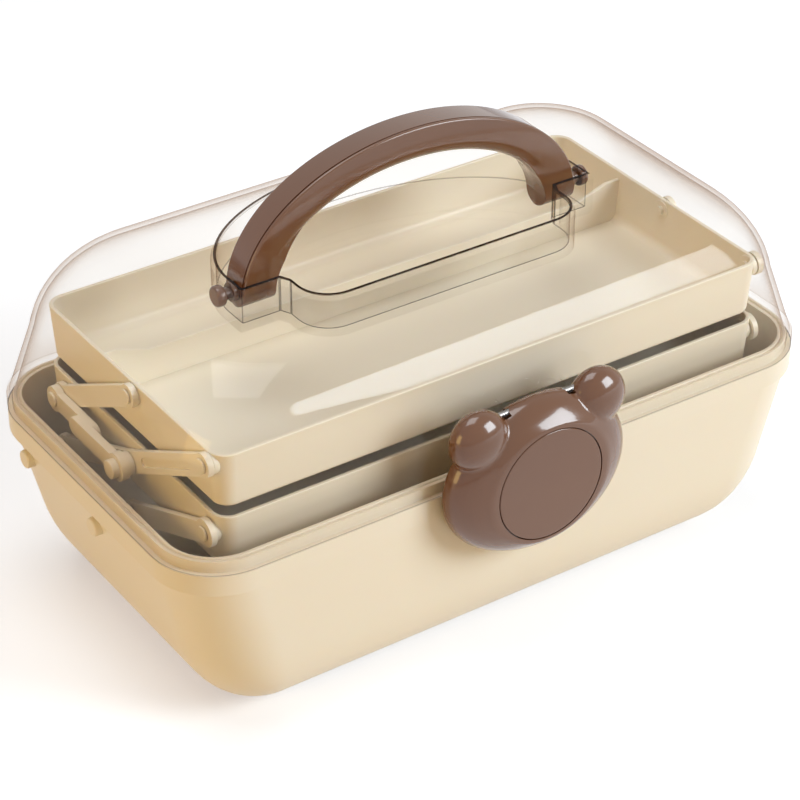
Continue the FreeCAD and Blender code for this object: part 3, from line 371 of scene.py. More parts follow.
def floor_paper(colours):
    """Matt pale floor with a very faint paper tooth, lifted to white where it is seen and not where it lights."""
    finish = Finish("floor_paper")
    tooth = finish.noise(420.0, 3.0)
    paper = finish.mix(tooth * 0.06, tuple(colours.floor), tuple(colours.floor_tooth))
    camera = finish.node("LightPath", output="Is Camera Ray")
    glossy = finish.node("LightPath", output="Is Glossy Ray")
    passing = finish.node("LightPath", output="Is Transmission Ray")
    seen = camera.math("MAXIMUM", camera, camera.math("MAXIMUM", glossy, passing))
    tone = finish.mix(seen, tuple(colours.floor_bounce), paper)
    lift = finish.mix(seen, (0.0, 0.0, 0.0), tuple(colours.floor_lift))
    shader = finish.node("BsdfPrincipled", base_color=tone, roughness=0.9, specular_ior_level=0.1,
                         emission_color=lift, emission_strength=1.0)
    return finish.output(shader)


MAKERS = {
    "cream_plastic": cream_plastic,
    "brown_plastic": brown_plastic,
    "clear_plastic": clear_plastic,
    "pin_steel": pin_steel,
    "floor_paper": floor_paper,
}


def finish_named(name):
    """The finish of one name, made when it is first asked for. The frame has plain materials of its own."""
    full_name = "organizer_" + name
    if full_name not in bpy.data.materials:
        MAKERS[name](bpy.context.scene.finish_colours).name = full_name
    return bpy.data.materials[full_name]


# Modelling helpers
def start(name, add, **sizes):
    """Adds a primitive with its place in its mesh and opens it in edit mode."""
    bpy.ops.object.select_all(action="DESELECT")
    add(**sizes)
    piece = bpy.context.object
    piece.name = name
    bpy.ops.object.transform_apply(location=True, rotation=True, scale=True)
    bpy.ops.object.mode_set(mode="EDIT")
    return piece


def close_edit():
    bpy.ops.object.mode_set(mode="OBJECT")


def make_active(piece):
    bpy.ops.object.select_all(action="DESELECT")
    piece.select_set(True)
    bpy.context.view_layer.objects.active = piece


def open_edit(piece):
    make_active(piece)
    bpy.ops.object.mode_set(mode="EDIT")


def join(piece, other):
    make_active(piece)
    other.select_set(True)
    bpy.ops.object.join()
    return piece


def apply_modifier(piece, kind, **settings):
    make_active(piece)
    bpy.ops.object.modifier_add(type=kind)
    modifier = piece.modifiers[-1]
    for key, value in settings.items():
        setattr(modifier, key, value)
    bpy.ops.object.modifier_apply(modifier=modifier.name)


def pick(piece, kind, test):
    """Selects the vertices, edges or faces whose middle and normal pass the test."""
    bpy.ops.mesh.select_mode(type=kind)
    bpy.ops.mesh.select_all(action="DESELECT")
    mesh = bmesh.from_edit_mesh(piece.data)
    if kind == "FACE":
        for face in mesh.faces:
            face.select_set(test(face.calc_center_median(), face.normal))
    elif kind == "EDGE":
        for edge in mesh.edges:
            ends = [vertex.co for vertex in edge.verts]
            edge.select_set(test((ends[0] + ends[1]) / 2, ends[1] - ends[0]))
    else:
        for vertex in mesh.verts:
            vertex.select_set(test(vertex.co, vertex.normal))
    mesh.select_flush_mode()
    bmesh.update_edit_mesh(piece.data)


def pick_range(piece, *runs):
    """Selects runs of vertices, each of which holds one or more outlines."""
    bpy.ops.mesh.select_mode(type="VERT")
    bpy.ops.mesh.select_all(action="DESELECT")
    mesh = bmesh.from_edit_mesh(piece.data)
    mesh.verts.ensure_lookup_table()
    for first, last in runs:
        for number in range(first, last):
            mesh.verts[number].select_set(True)
    mesh.select_flush_mode()
    bmesh.update_edit_mesh(piece.data)


def turn_outwards():
    bpy.ops.mesh.select_all(action="SELECT")
    bpy.ops.mesh.normals_make_consistent(inside=False)


def round_edges(width, steps=3, sharpness=30.0):
    """Rounds every sharp edge of the piece in edit mode."""
    bpy.ops.mesh.select_mode(type="EDGE")
    bpy.ops.mesh.select_all(action="DESELECT")
    bpy.ops.mesh.edges_select_sharp(sharpness=math.radians(sharpness))
    bpy.ops.mesh.bevel(offset=width, offset_type="OFFSET", segments=steps, affect="EDGES", clamp_overlap=True)


def shape_outline(z, half_x, half_y, corner, segments):
    bpy.ops.transform.resize(value=(half_x, half_y, 1), center_override=(0, 0, z))
    bpy.ops.mesh.bevel(offset=corner, offset_type="OFFSET", segments=segments, affect="VERTICES")
    bpy.ops.mesh.delete(type="ONLY_FACE")


def bridge_outlines(piece, outlines, count, cap_inset):
    """Bridges outlines of equal count in order and closes the first and the last."""
    for number in range(outlines - 1):
        pick_range(piece, (number * count, (number + 2) * count))
        bpy.ops.mesh.bridge_edge_loops()
    ends = [(0, count), ((outlines - 1) * count, outlines * count)]
    for end in ends:
        pick_range(piece, end)
        bpy.ops.mesh.edge_face_add()
    pick_range(piece, *ends)
    bpy.ops.mesh.select_mode(type="FACE")
    bpy.ops.mesh.inset(thickness=cap_inset)
    turn_outwards()


# Outlines of one height are set this far apart, so that each bridge has a direction
STEP_RISE = 0.02 * MM


def stack(name, sections, segments, cap_inset=2.0):
    """A closed body from rounded rectangles given as height, half length, half depth and corner in millimetres."""
    piece = None
    level = None
    for section in sections:
        z, half_x, half_y, corner = [value * MM for value in section]
        if level is not None and abs(z - level) < STEP_RISE:
            z = level + STEP_RISE
        level = z
        if piece is None:
            piece = start(name, bpy.ops.mesh.primitive_plane_add, size=2, location=(0, 0, z))
        else:
            bpy.ops.mesh.select_all(action="DESELECT")
            bpy.ops.mesh.primitive_plane_add(size=2, location=(0, 0, z))
        shape_outline(z, half_x, half_y, corner, segments)
    bridge_outlines(piece, len(sections), 4 * (segments + 1), cap_inset * MM)
    return piece


def rod(name, low, high, y, z, radius, rounding):
    """A round bar along X with rounded rims, in millimetres."""
    piece = start(name, bpy.ops.mesh.primitive_cylinder_add, vertices=48, radius=radius * MM,
                  depth=abs(high - low) * MM, location=((low + high) / 2 * MM, y * MM, z * MM),
                  rotation=(0, math.pi / 2, 0))
    if rounding:
        round_edges(rounding * MM, 3, 50.0)
    close_edit()
    return piece


def plate(name, radius, depth, y, z, vertices=128):
    """A round plate that faces the front, left in edit mode."""
    return start(name, bpy.ops.mesh.primitive_cylinder_add, vertices=vertices, radius=radius * MM,
                 depth=depth * MM, location=(0, y * MM, z * MM), rotation=(math.pi / 2, 0, 0))


def block(name, low, high):
    """A plain block between two corners, in millimetres."""
    middle = [(a + b) / 2 * MM for a, b in zip(low, high)]
    piece = start(name, bpy.ops.mesh.primitive_cube_add, size=1, location=(0, 0, 0))
    bpy.ops.transform.resize(value=[abs(b - a) * MM for a, b in zip(low, high)], center_override=(0, 0, 0))
    bpy.ops.transform.translate(value=middle)
    close_edit()
    return piece


def capsule(name, low, high, start_point, end_point, radius):
    """A bar with round ends in the plane of the linkage: half of a round bar is pulled to the far end."""
    y, z = start_point
    along = Vector((0, end_point[0] - y, end_point[1] - z)) * MM
    piece = start(name, bpy.ops.mesh.primitive_cylinder_add, vertices=48, radius=radius * MM,
                  depth=abs(high - low) * MM, location=((low + high) / 2 * MM, y * MM, z * MM),
                  rotation=(0, math.pi / 2, 0))
    middle = Vector((0, y * MM, z * MM))
    bpy.ops.transform.rotate(value=-math.atan2(along.z, along.y), orient_axis="X", center_override=middle)
    pick(piece, "VERT", lambda place, normal: (place - middle).dot(along.normalized()) > -1e-7)
    bpy.ops.transform.translate(value=along)
    close_edit()
    return piece


def combine(piece, tools, operation="UNION"):
    """Joins or carves a piece with other bodies, which are used up."""
    for tool in tools:
        apply_modifier(piece, "BOOLEAN", operation=operation, solver="MANIFOLD", object=tool)
        bpy.data.objects.remove(tool)
    return piece


def carve(piece, tools):
    return combine(piece, tools, "DIFFERENCE")


def smooth(piece, angle=40.0, weighted=True):
    make_active(piece)
    bpy.ops.object.shade_smooth_by_angle(angle=math.radians(angle))
    if weighted:
        apply_modifier(piece, "WEIGHTED_NORMAL", keep_sharp=True)


def put(piece, name, body, slot, nodes):
    """Names a finished piece, gives it its finish and sets it on its body in place of its solids."""
    piece.name = name
    piece.data.name = name
    piece.data.materials.clear()
    piece.data.materials.append(finish_named(slot))
    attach(piece, body)
    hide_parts(*nodes)
    return piece


def turned_sections(section, drop, lean, end_inset, front_inset, fade, steps=12):
    """Rounded rectangles of an edge that turns from the end walls into the floor or the roof."""
    centre, half_length, half_depth, corner = section
    sections = []
    for number in range(1, steps + 1):
        angle = math.pi / 2 * number / steps
        turned = 1 - math.cos(angle)
        end_shift = lean * abs(drop) * math.sin(angle) + end_inset * turned
        front_shift = front_inset * turned
        corner_shift = (end_inset + front_inset) / 2 * turned * fade
        sections.append((centre + drop * math.sin(angle), half_length - end_shift, half_depth - front_shift,
                         corner - corner_shift))
    return sections


def drawn_in(section, amount, level=None):
    """A section drawn in by one amount all round, at its own height or another."""
    z, half_length, half_depth, corner = section
    return (z if level is None else level, half_length - amount, half_depth - amount, corner - amount)


# Pivots of the linkage, the hinges and the latch, as distance behind the middle and height
BASE_BACK = (53.5, 66.3)
BASE_FRONT = (-3.5, 66.3)
MID_FRONT = (-61.5, 91.0)
MID_CENTRE = (-4.5, 91.0)
MID_BACK = (52.5, 91.0)
TOP_FRONT = (-62.5, 122.5)
TOP_BACK = (-5.5, 122.5)
LID_HINGE = (91.0, 86.5)
LATCH_HINGE = (-89.5, 116.5)

# The hinge stations stand this far to the left and right of the middle
STATION = 70.0
HINGE_RADIUS = 4.0


def between(first, last, share):
    return tuple(a + (b - a) * share for a, b in zip(first, last))


def span(side, low, high):
    """A run along the length of the box, from the middle out, on one side."""
    return (low, high) if side > 0 else (-high, -low)


def hull(round_part, root):
    """A round hinge part and its root drawn together into one softened lug."""
    piece = join(round_part, root)
    bpy.ops.object.mode_set(mode="EDIT")
    bpy.ops.mesh.select_all(action="SELECT")
    bpy.ops.mesh.convex_hull()
    round_edges(0.3 * MM, 2, 50.0)
    close_edit()
    return piece


def soften(piece):
    """Clears the small edges of joined bodies and rounds the sharp ones."""
    open_edit(piece)
    bpy.ops.mesh.select_all(action="SELECT")
    bpy.ops.mesh.remove_doubles(threshold=1e-6)
    bpy.ops.mesh.dissolve_limited(angle_limit=math.radians(0.5))
    round_edges(0.5 * MM, 3, 40.0)
    close_edit()


# Base tub
class ORGANIZER_OT_tub(bpy.types.Operator):
    """Model the deep base with its rounded foot, outer band, stepped rim, hinge lugs and catch"""
    bl_idname = "organizer.tub"
    bl_label = "Base tub"

    def execute(self, context):
        s = Millimetres("tub_sizes")
        lean = 0.216
        fade = 0.9
        rim = drawn_in(s.band, s.step, s.mouth[0])
        inner_foot = drawn_in(s.foot, s.wall)
        under_channel = rim[0] - s.channel
        turned = turned_sections(s.foot, -s.foot[0], lean, s.end_inset, s.front_inset, fade)
        sections = list(reversed(turned)) + [
            s.foot,
            s.wall_top,
            drawn_in(s.band, 0.0, s.wall_top[0]),
            s.band,
            drawn_in(s.band, s.step),
            rim,
            drawn_in(rim, 1.3),
            drawn_in(rim, 1.6, under_channel),
            drawn_in(rim, 2.2, under_channel),
            drawn_in(rim, 2.5),
            s.mouth,
            drawn_in(s.mouth, 0.0, s.mouth_foot),
            inner_foot,
        ] + turned_sections(inner_foot, s.wall - s.foot[0], lean, s.end_inset - s.wall / 2,
                            s.front_inset - s.wall, fade)
        tub = stack("tub", sections, context.scene.stage_settings.segments, 2.5)
        round_edges(0.35 * MM, 2, 35.0)
        close_edit()
        additions = []
        for side in SIDES.values():
            for near, far in ((7.0, 12.0), (-12.0, -7.0)):
                low, high = STATION * side + near, STATION * side + far
                lug = rod("lug", low, high, *LID_HINGE, HINGE_RADIUS, 0)
                additions.append(hull(lug, block("root", (low, 83.0, 76.3), (high, 84.0, 84.2))))
        catch = block("catch", (-16.0, -87.4, 69.0), (16.0, -82.4, 75.5))
        open_edit(catch)
        round_edges(0.8 * MM, 3)
        close_edit()
        combine(tub, additions + [catch])
        smooth(tub)
        put(tub, "tub", "base", "cream_plastic", ["base_tub"])
        return {"FINISHED"}


# Lid
# Corners of the well in front of the handle feet, as distance from the middle and place from front to back
FRONT_POSTS = ((83.8, -10.0), (66.5, -10.0), (64.3, -14.5))


def well_body(name, bottom, top, grow):
    """The handle well: half an oval behind, two ears and a narrower front with round corners."""
    sizes = Millimetres("lid_sizes")
    reach = sizes.well_reach + grow
    back = sizes.well_back + grow
    middle = sizes.well_middle
    height = top - bottom
    body = start(name, bpy.ops.mesh.primitive_cylinder_add, vertices=160, radius=1.0 * MM, depth=height * MM,
                 location=(0, 0, 0))
    bpy.ops.transform.resize(value=(reach, back, 1), center_override=(0, 0, 0))
    bpy.ops.transform.translate(value=(0, middle * MM, (top + bottom) / 2 * MM))
    bpy.ops.mesh.bisect(plane_co=(0, middle * MM, 0), plane_no=(0, -1, 0), clear_outer=True, use_fill=True)
    pick(body, "FACE", lambda place, normal: abs(normal.y) > 0.999 and abs(place.y - middle * MM) < 1e-5)
    steps = [(-10.0 - grow, reach)]
    steps += [(y - grow, half + grow) for half, y in FRONT_POSTS[1:]]
    round_start, round_radius, front_half = -20.0, 14.0 + grow, 50.3
    steps.append((round_start, FRONT_POSTS[-1][0] + grow))
    for number in range(1, 10):
        angle = math.pi / 2 * number / 9
        steps.append((round_start - round_radius * math.sin(angle), front_half + round_radius * math.cos(angle)))
    y, half = middle, reach
    for next_y, next_half in steps:
        bpy.ops.mesh.extrude_region_move(TRANSFORM_OT_translate={"value": (0, (next_y - y) * MM, 0)})
        bpy.ops.transform.resize(value=(next_half / half, 1, 1), center_override=(0, next_y * MM, 0))
        y, half = next_y, next_half
    turn_outwards()
    close_edit()
    return body


class ORGANIZER_OT_lid(bpy.types.Operator):
    """Model the clear domed lid with its skirt, handle well, latch tongue and hinge knuckles"""
    bl_idname = "organizer.lid"
    bl_label = "Clear lid"

    def execute(self, context):
        s = Millimetres("lid_sizes")
        handle = Millimetres("handle_sizes")
        segments = context.scene.stage_settings.segments + 4
        lean = 0.237
        fade = 0.42
        skirt = drawn_in(Millimetres("tub_sizes").band, 0.0, s.skirt_bottom)
        skirt_top = s.foot[0]
        ledge = skirt_top - 1.5
        inner_shoulder = drawn_in(s.shoulder, s.wall)
        outside = stack("lid", [skirt, drawn_in(skirt, 0.0, skirt_top), s.foot, s.shoulder] + turned_sections(
            s.shoulder, s.rise, lean, s.end_inset, s.front_inset, fade, 16), segments)
        round_edges(0.35 * MM, 2, 50.0)
        close_edit()
        room = stack("room", [
            drawn_in(skirt, 2.1, s.skirt_bottom - 1.6),
            drawn_in(skirt, 2.1, ledge),
            drawn_in(s.foot, s.wall, ledge),
            inner_shoulder,
        ] + turned_sections(inner_shoulder, s.rise - s.wall, lean, s.end_inset - 1.5, s.front_inset - s.wall, fade,
                            16), segments)
        close_edit()
        carve(room, [well_body("well_wall", s.well_floor - 2.2, 170.0, s.wall)])
        carve(outside, [room])
        carve(outside, [well_body("well_room", s.well_floor, 175.0, 0.0)])
        tongue = block("tongue", (-18.0, -84.9, 98.0), (18.0, -81.9, 126.0))
        arch = plate("arch", 36.5, 10.0, -83.0, 84.7, 160)
        close_edit()
        combine(tongue, [arch], "INTERSECT")
        additions = [tongue]
        pin_y, pin_z = LATCH_HINGE
        for side in SIDES.values():
            low, high = span(side, 14.0, 17.0)
            additions.append(rod("latch_eye", low, high, pin_y, pin_z, 2.7, 0.2))
            additions.append(block("latch_neck", (low, pin_y, pin_z - 2.7), (high, -82.0, pin_z + 2.7)))
            low, high = STATION * side - 6.6, STATION * side + 6.6
            knuckle = rod("knuckle", low, high, *LID_HINGE, HINGE_RADIUS, 0)
            additions.append(hull(knuckle, block("root", (low, 82.3, 84.8), (high, 83.0, 90.9))))
        combine(outside, additions)
        holes = [rod("pin_hole", -21.0, 21.0, pin_y, pin_z, 1.3, 0)]
        for side in SIDES.values():
            holes.append(rod("peg_hole", *span(side, 82.8, 87.1), handle.pivot_y, handle.pivot_z,
                             handle.peg + 0.08, 0))
            holes.append(rod("hinge_hole", STATION * side - 13, STATION * side + 13, *LID_HINGE, 1.58, 0))
        carve(outside, holes)
        combine(outside, self.beads())
        smooth(outside, 40.0)
        self.mark_painted_edge_shade(outside.data)
        put(outside, "clear_lid", "lid", "clear_plastic", ["lid"])
        return {"FINISHED"}

    def beads(self):
        """Fine beads along the well's upper border, round its floor and up the corners beside the handle feet."""
        border = carve(well_body("border", 154.9, 156.12, 0.8), [well_body("border_room", 150.0, 160.0, -0.35)])
        floor = carve(well_body("floor_bead", 139.0, 140.35, 0.3), [well_body("floor_room", 138.0, 145.0, -0.45)])
        posts = []
        for side in SIDES.values():
            for x, y in FRONT_POSTS:
                posts.append(block("post", (x * side - 0.35, y - 0.35, 139.0), (x * side + 0.35, y + 0.35, 155.5)))
        return [border, floor] + posts

    def painted_edge_shade_amount(self, place, normal):
        """How much of the painted dark edge shade a face takes: dark lines that stand in for the clear wall's edges
        seen bent against the shaded inside.
        """
        x, y, z = [value / MM for value in place]
        on_border = z > 156.03
        on_well_wall = z > 155.2 and normal.z < 0.3 and -36.0 < y < 54.0 and abs(x) < 84.3
        on_floor_bead = 140.05 < z < 140.5 and abs(x) < 84.2
        post = min(math.hypot(abs(x) - across, y - along) for across, along in FRONT_POSTS)
        on_skirt_edge = z < 85.1 and abs(normal.z) < 0.97
        if on_border:
            return 0.95
        if on_well_wall:
            # Painted shade: the well's walls in front of the handle feet take more of the dark edge shade than those
            # behind
            return 0.6 if y < -9.0 else 0.2
        if on_floor_bead:
            return 0.45
        if post < 0.5 and 140.5 < z < 155.6:
            return 0.5
        return 0.75 if on_skirt_edge else 0.0

    def mark_painted_edge_shade(self, mesh):
        """Marks the well's beads and walls and the skirt's lower edge for the painted dark edge shade."""
        painted_edge_shade_marks = mesh.attributes.new("painted_edge_shade", "FLOAT", "FACE")
        for face in mesh.polygons:
            painted_edge_shade_marks.data[face.index].value = self.painted_edge_shade_amount(face.center, face.normal)


# Trays
class ORGANIZER_OT_trays(bpy.types.Operator):
    """Model the top and the middle tray with soft inner corners, pivot bosses and the divider"""
    bl_idname = "organizer.trays"
    bl_label = "Trays"

    def execute(self, context):
        s = Millimetres("tray_sizes")
        for name, rim, pivots in (("mid_tray", s.mid_rim, (MID_FRONT, MID_CENTRE, MID_BACK)),
                                  ("top_tray", s.top_rim, (TOP_FRONT, TOP_BACK))):
            tray = self.tray(name, s, *rim)
            additions = []
            holes = []
            if name == "top_tray":
                additions.append(self.divider())
            for side in SIDES.values():
                for pivot in pivots:
                    additions.append(rod("boss", *span(side, 128.6, 131.1), *pivot, 4.5, 0.35))
                    holes.append(rod("hole", *span(side, 127.0, 132.5), *pivot, 2.03, 0))
            combine(tray, additions)
            carve(tray, holes)
            smooth(tray)
            put(tray, name + "_shell", name, "cream_plastic", [name])
        return {"FINISHED"}

    def tray(self, name, s, rim, half_length, half_depth, corner):
        """One tray as a single wall that runs over its rim and down to a filleted floor."""
        border = (rim, half_length, half_depth, corner)
        bottom = rim - s.height
        foot, fillet = 2.2, 4.0
        sections = []
        for number in range(5):
            angle = math.pi / 2 * number / 4
            inset = s.draft + foot * (1 - math.sin(angle))
            sections.append((bottom + foot * (1 - math.cos(angle)), half_length - inset, half_depth - inset,
                             corner - inset * 0.7))
        sections += [border, drawn_in(border, s.wall)]
        floor = bottom + s.wall
        for number in range(6):
            angle = math.pi / 2 * number / 5
            inset = s.wall + s.draft + fillet * (1 - math.cos(angle))
            sections.append((floor + fillet * (1 - math.sin(angle)), half_length - inset, half_depth - inset,
                             corner - s.wall + (1 - math.cos(angle)) * 1.5))
        tray = stack(name, sections, 10, 3.0)
        round_edges(0.45 * MM, 3, 50.0)
        close_edit()
        return tray

    def divider(self):
        """The lengthwise wall, lower in the middle, from a block whose top is raised near its ends."""
        low_half, low_top = 107.0, 119.0
        wall = block("divider", (-low_half, 24.0, 103.6), (low_half, 25.8, low_top))
        open_edit(wall)
        for side in SIDES.values():
            pick(wall, "FACE", lambda place, normal: normal.x * side > 0.9)
            for step, lift in ((15.0, 5.0), (7.7, 0.0)):
                bpy.ops.mesh.extrude_region_move(TRANSFORM_OT_translate={"value": (step * side * MM, 0, 0)})
                if lift:
                    edge = low_top * MM
                    far = (low_half + step) * side * MM
                    pick(wall, "EDGE", lambda place, along: abs(place.z - edge) < 1e-5 and abs(place.x - far) < 1e-5)
                    bpy.ops.transform.translate(value=(0, 0, lift * MM))
                    pick(wall, "FACE", lambda place, normal: normal.x * side > 0.9 and place.x * side > 0.12)
        turn_outwards()
        round_edges(0.4 * MM, 2, 50.0)
        close_edit()
        return wall


# Swing linkage
class ORGANIZER_OT_links(bpy.types.Operator):
    """Model the long arm, the front link and the rear link of each end"""
    bl_idname = "organizer.links"
    bl_label = "Swing links"

    def execute(self, context):
        s = Millimetres("link_sizes")
        outer = s.inner + s.thick
        for side_name, side in SIDES.items():
            low, high = span(side, s.inner, outer)
            arm_pivots = (BASE_BACK, MID_CENTRE, TOP_FRONT)
            arm = capsule("long_arm", low, high, BASE_BACK, MID_CENTRE, s.half_width)
            upper = capsule("upper", low, high, MID_CENTRE, TOP_FRONT, s.half_width)
            combine(arm, [upper] + [rod("round", low, high, *place, s.end, 0) for place in arm_pivots])
            channel = capsule("channel", *span(side, outer - 0.9, outer + 1), between(MID_CENTRE, TOP_FRONT, 0.2),
                              between(MID_CENTRE, TOP_FRONT, 0.8), 2.0)
            self.complete(arm, [channel], arm_pivots, side, "long_arm_" + side_name, "long_arms")
            for name, body, first, last, radii in (
                    ("front_link_", "front_links", BASE_FRONT, MID_FRONT, (s.end, s.bulb)),
                    ("rear_link_", "rear_links", MID_BACK, TOP_BACK, (s.bulb, s.end))):
                link = capsule(name, low, high, first, last, s.half_width)
                combine(link, [rod("round", low, high, *place, radius, 0)
                               for place, radius in zip((first, last), radii)])
                self.complete(link, [], (first, last), side, name + side_name, body)
        return {"FINISHED"}

    def complete(self, link, tools, pivots, side, name, body):
        soften(link)
        carve(link, tools + [rod("hole", *span(side, 130.0, 136.0), *place, 2.08, 0) for place in pivots])
        smooth(link)
        put(link, name + "_shape", body, "cream_plastic", [name])


class ORGANIZER_OT_straps(bpy.types.Operator):
    """Model the stepped strap that ties the middle tray's centre and rear pivots"""
    bl_idname = "organizer.straps"
    bl_label = "Straps"

    def execute(self, context):
        for side_name, side in SIDES.items():
            rear = span(side, 134.3, 137.5)
            front = span(side, 136.9, 140.4)
            boss = span(side, 134.3, 137.4)
            strap = capsule("strap", *rear, MID_BACK, (22.0, 91.0), 4.0)
            parts = [
                capsule("strap_front", *front, (30.0, 91.0), MID_CENTRE, 4.0),
                rod("strap_end", *rear, *MID_BACK, 5.5, 0),
                rod("strap_head", *front, *MID_CENTRE, 6.0, 0),
                rod("strap_boss", *boss, *MID_CENTRE, 5.0, 0),
            ]
            combine(strap, parts)
            soften(strap)
            carve(strap, [rod("hole", *span(side, 133.0, 142.0), *place, 2.03, 0)
                          for place in (MID_BACK, MID_CENTRE)])
            smooth(strap)
            put(strap, "strap_%s_shape" % side_name, "mid_tray", "cream_plastic", ["strap_" + side_name])
        return {"FINISHED"}


class ORGANIZER_OT_pins(bpy.types.Operator):
    """Model the pivot pins with their round heads"""
    bl_idname = "organizer.pins"
    bl_label = "Pivot pins"

    def execute(self, context):
        radius = Millimetres("link_sizes").pin
        for side_name, side in SIDES.items():
            for name, body, place, shaft_end, head_end, head in (
                    ("mid_front_pin_", "mid_tray", MID_FRONT, 134.3, 135.2, 3.2),
                    ("mid_centre_pin_", "mid_tray", MID_CENTRE, 140.4, 143.6, 4.0),
                    ("mid_rear_pin_", "mid_tray", MID_BACK, 137.5, 138.7, 3.2),
                    ("top_front_pin_", "top_tray", TOP_FRONT, 134.3, 135.2, 3.2),
                    ("top_rear_pin_", "top_tray", TOP_BACK, 134.3, 135.2, 3.2)):
                pin = rod("pin", *span(side, 127.2, shaft_end + 0.1), *place, radius, 0)
                combine(pin, [rod("head", *span(side, shaft_end, head_end), *place, head, 0.4)])
                smooth(pin)
                put(pin, name + side_name + "_shape", body, "cream_plastic", [name + side_name])
            pair = None
            for place in (BASE_BACK, BASE_FRONT):
                pin = rod("base_pin", *span(side, 134.3, 152.6), *place, 4.0, 0.8)
                combine(pin, [rod("shaft", *span(side, 130.4, 135.3), *place, radius, 0),
                              rod("inner_head", *span(side, 130.1, 131.1), *place, 3.2, 0.2)])
                pair = join(pair, pin) if pair else pin
            smooth(pair)
            put(pair, "base_pins_" + side_name, "base", "cream_plastic", ["base_pivot_pins_" + side_name])
        return {"FINISHED"}


# Handle
def arch_bar(name, sizes, outward, width, thick, corners, first, growth=1.0, foot=True):
    """Half of a bar bent along the handle's oval, from an angle beside the crown down to the left pivot."""
    across = sizes.half_span - sizes.thick / 2 + outward[0]
    up = sizes.rise - sizes.thick / 2 + outward[0]
    y = sizes.pivot_y + outward[1]
    level = sizes.pivot_z - sizes.drop
    last = math.acos(sizes.drop / up)

    def station(angle):
        place = Vector((-across * math.sin(angle), y, level + up * math.cos(angle)))
        return place, math.atan2(up * math.sin(angle), across * math.cos(angle))

    bar = start(name, bpy.ops.mesh.primitive_plane_add, size=1, location=(0, 0, 0), rotation=(0, math.pi / 2, 0))
    bpy.ops.transform.resize(value=(1, width, thick), center_override=(0, 0, 0))
    for corner, side in zip(corners, (1, -1)):
        if corner:
            pick(bar, "VERT", lambda place, normal: place.z * side > 0)
            bpy.ops.mesh.bevel(offset=corner, offset_type="OFFSET", segments=8, affect="VERTICES")
    bpy.ops.mesh.select_mode(type="FACE")
    bpy.ops.mesh.select_all(action="SELECT")
    here, turned = station(first)
    bpy.ops.transform.resize(value=(growth, growth, growth), center_override=(0, 0, 0))
    bpy.ops.transform.rotate(value=turned, orient_axis="Y", center_override=(0, 0, 0))
    bpy.ops.transform.translate(value=here)
    steps = 40 if growth == 1.0 else 24
    size = growth
    for number in range(1, steps + 1):
        share = number / steps
        there, lean = station(first + (last - first) * share)
        bpy.ops.mesh.extrude_region_move(TRANSFORM_OT_translate={"value": there - here})
        bpy.ops.transform.rotate(value=lean - turned, orient_axis="Y", center_override=there)
        grown = min(1.0, growth + (1.0 - growth) * share * 2.0)
        ratio = grown / size
        bpy.ops.transform.resize(value=(ratio, ratio, ratio), center_override=there)
        here, turned, size = there, lean, grown
    if foot:
        round_foot(sizes, here, turned, width / 2)
    turn_outwards()
    close_edit()
    return bar


def round_foot(sizes, here, turned, radius):
    """Continues the bar's lower face into a half-round foot below the pivot."""
    bpy.ops.transform.rotate(value=math.pi / 2 - turned, orient_axis="Y", center_override=here)
    steps = 10
    width = 1.0
    for number in range(1, steps + 1):
        angle = math.radians(84.0) * number / steps
        there = Vector((here.x, here.y, sizes.pivot_z - radius * math.sin(angle)))
        bpy.ops.mesh.extrude_region_move(TRANSFORM_OT_translate={"value": there - here})
        bpy.ops.transform.resize(value=(1, math.cos(angle) / width, 1), center_override=there)
        here, width = there, math.cos(angle)


def mirrored(piece):
    """Adds the other half of a piece, joined where it meets the middle plane."""
    open_edit(piece)
    pick(piece, "FACE", lambda place, normal: abs(place.x) < 1e-6)
    bpy.ops.mesh.delete(type="FACE")
    close_edit()
    apply_modifier(piece, "MIRROR", merge_threshold=1e-5)
    bpy.ops.object.mode_set(mode="EDIT")
    turn_outwards()
    close_edit()
    return piece


class ORGANIZER_OT_handle(bpy.types.Operator):
    """Model the arched handle with its rounded belly, flat lower legs, front groove, round feet and pegs"""
    bl_idname = "organizer.handle"
    bl_label = "Handle"

    def execute(self, context):
        s = context.scene.handle_sizes
        width = s.half_width * 2
        arch = mirrored(arch_bar("handle", s, (0, 0), width, s.thick, (0.9 * MM, s.belly), 0.0))
        legs = mirrored(arch_bar("legs", s, (-0.05 * MM, 0), width - 0.06 * MM, s.thick - 0.16 * MM,
                                 (0.8 * MM, 0.5 * MM), math.radians(48.0), 0.78))
        groove = mirrored(arch_bar("groove", s, (s.thick / 2, 1.5 * MM - s.half_width), s.groove, 0.8 * MM,
                                   (0, 0), 0.0, foot=False))
        combine(arch, [legs])
        carve(arch, [groove])
        holes = []
        pegs = Millimetres("handle_sizes")
        pivot = (pegs.pivot_y, pegs.pivot_z)
        for side_name, side in SIDES.items():
            holes.append(rod("hole", *span(side, pegs.peg_run[0] - 0.1, 83.0), *pivot, pegs.peg + 0.03, 0))
            peg = rod("peg", *span(side, *pegs.peg_run), *pivot, pegs.peg, 0)
            combine(peg, [rod("collar", *span(side, *pegs.collar_run), *pivot, pegs.collar, 0.4),
                          rod("head", *span(side, *pegs.head_run), *pivot, pegs.peg_head, 1.2)])
            smooth(peg)
            put(peg, "peg_" + side_name, "handle", "brown_plastic", ["handle_peg_" + side_name])
        carve(arch, holes)
        smooth(arch, 35.0, False)
        put(arch, "handle_arch", "handle", "brown_plastic", ["handle"])
        return {"FINISHED"}


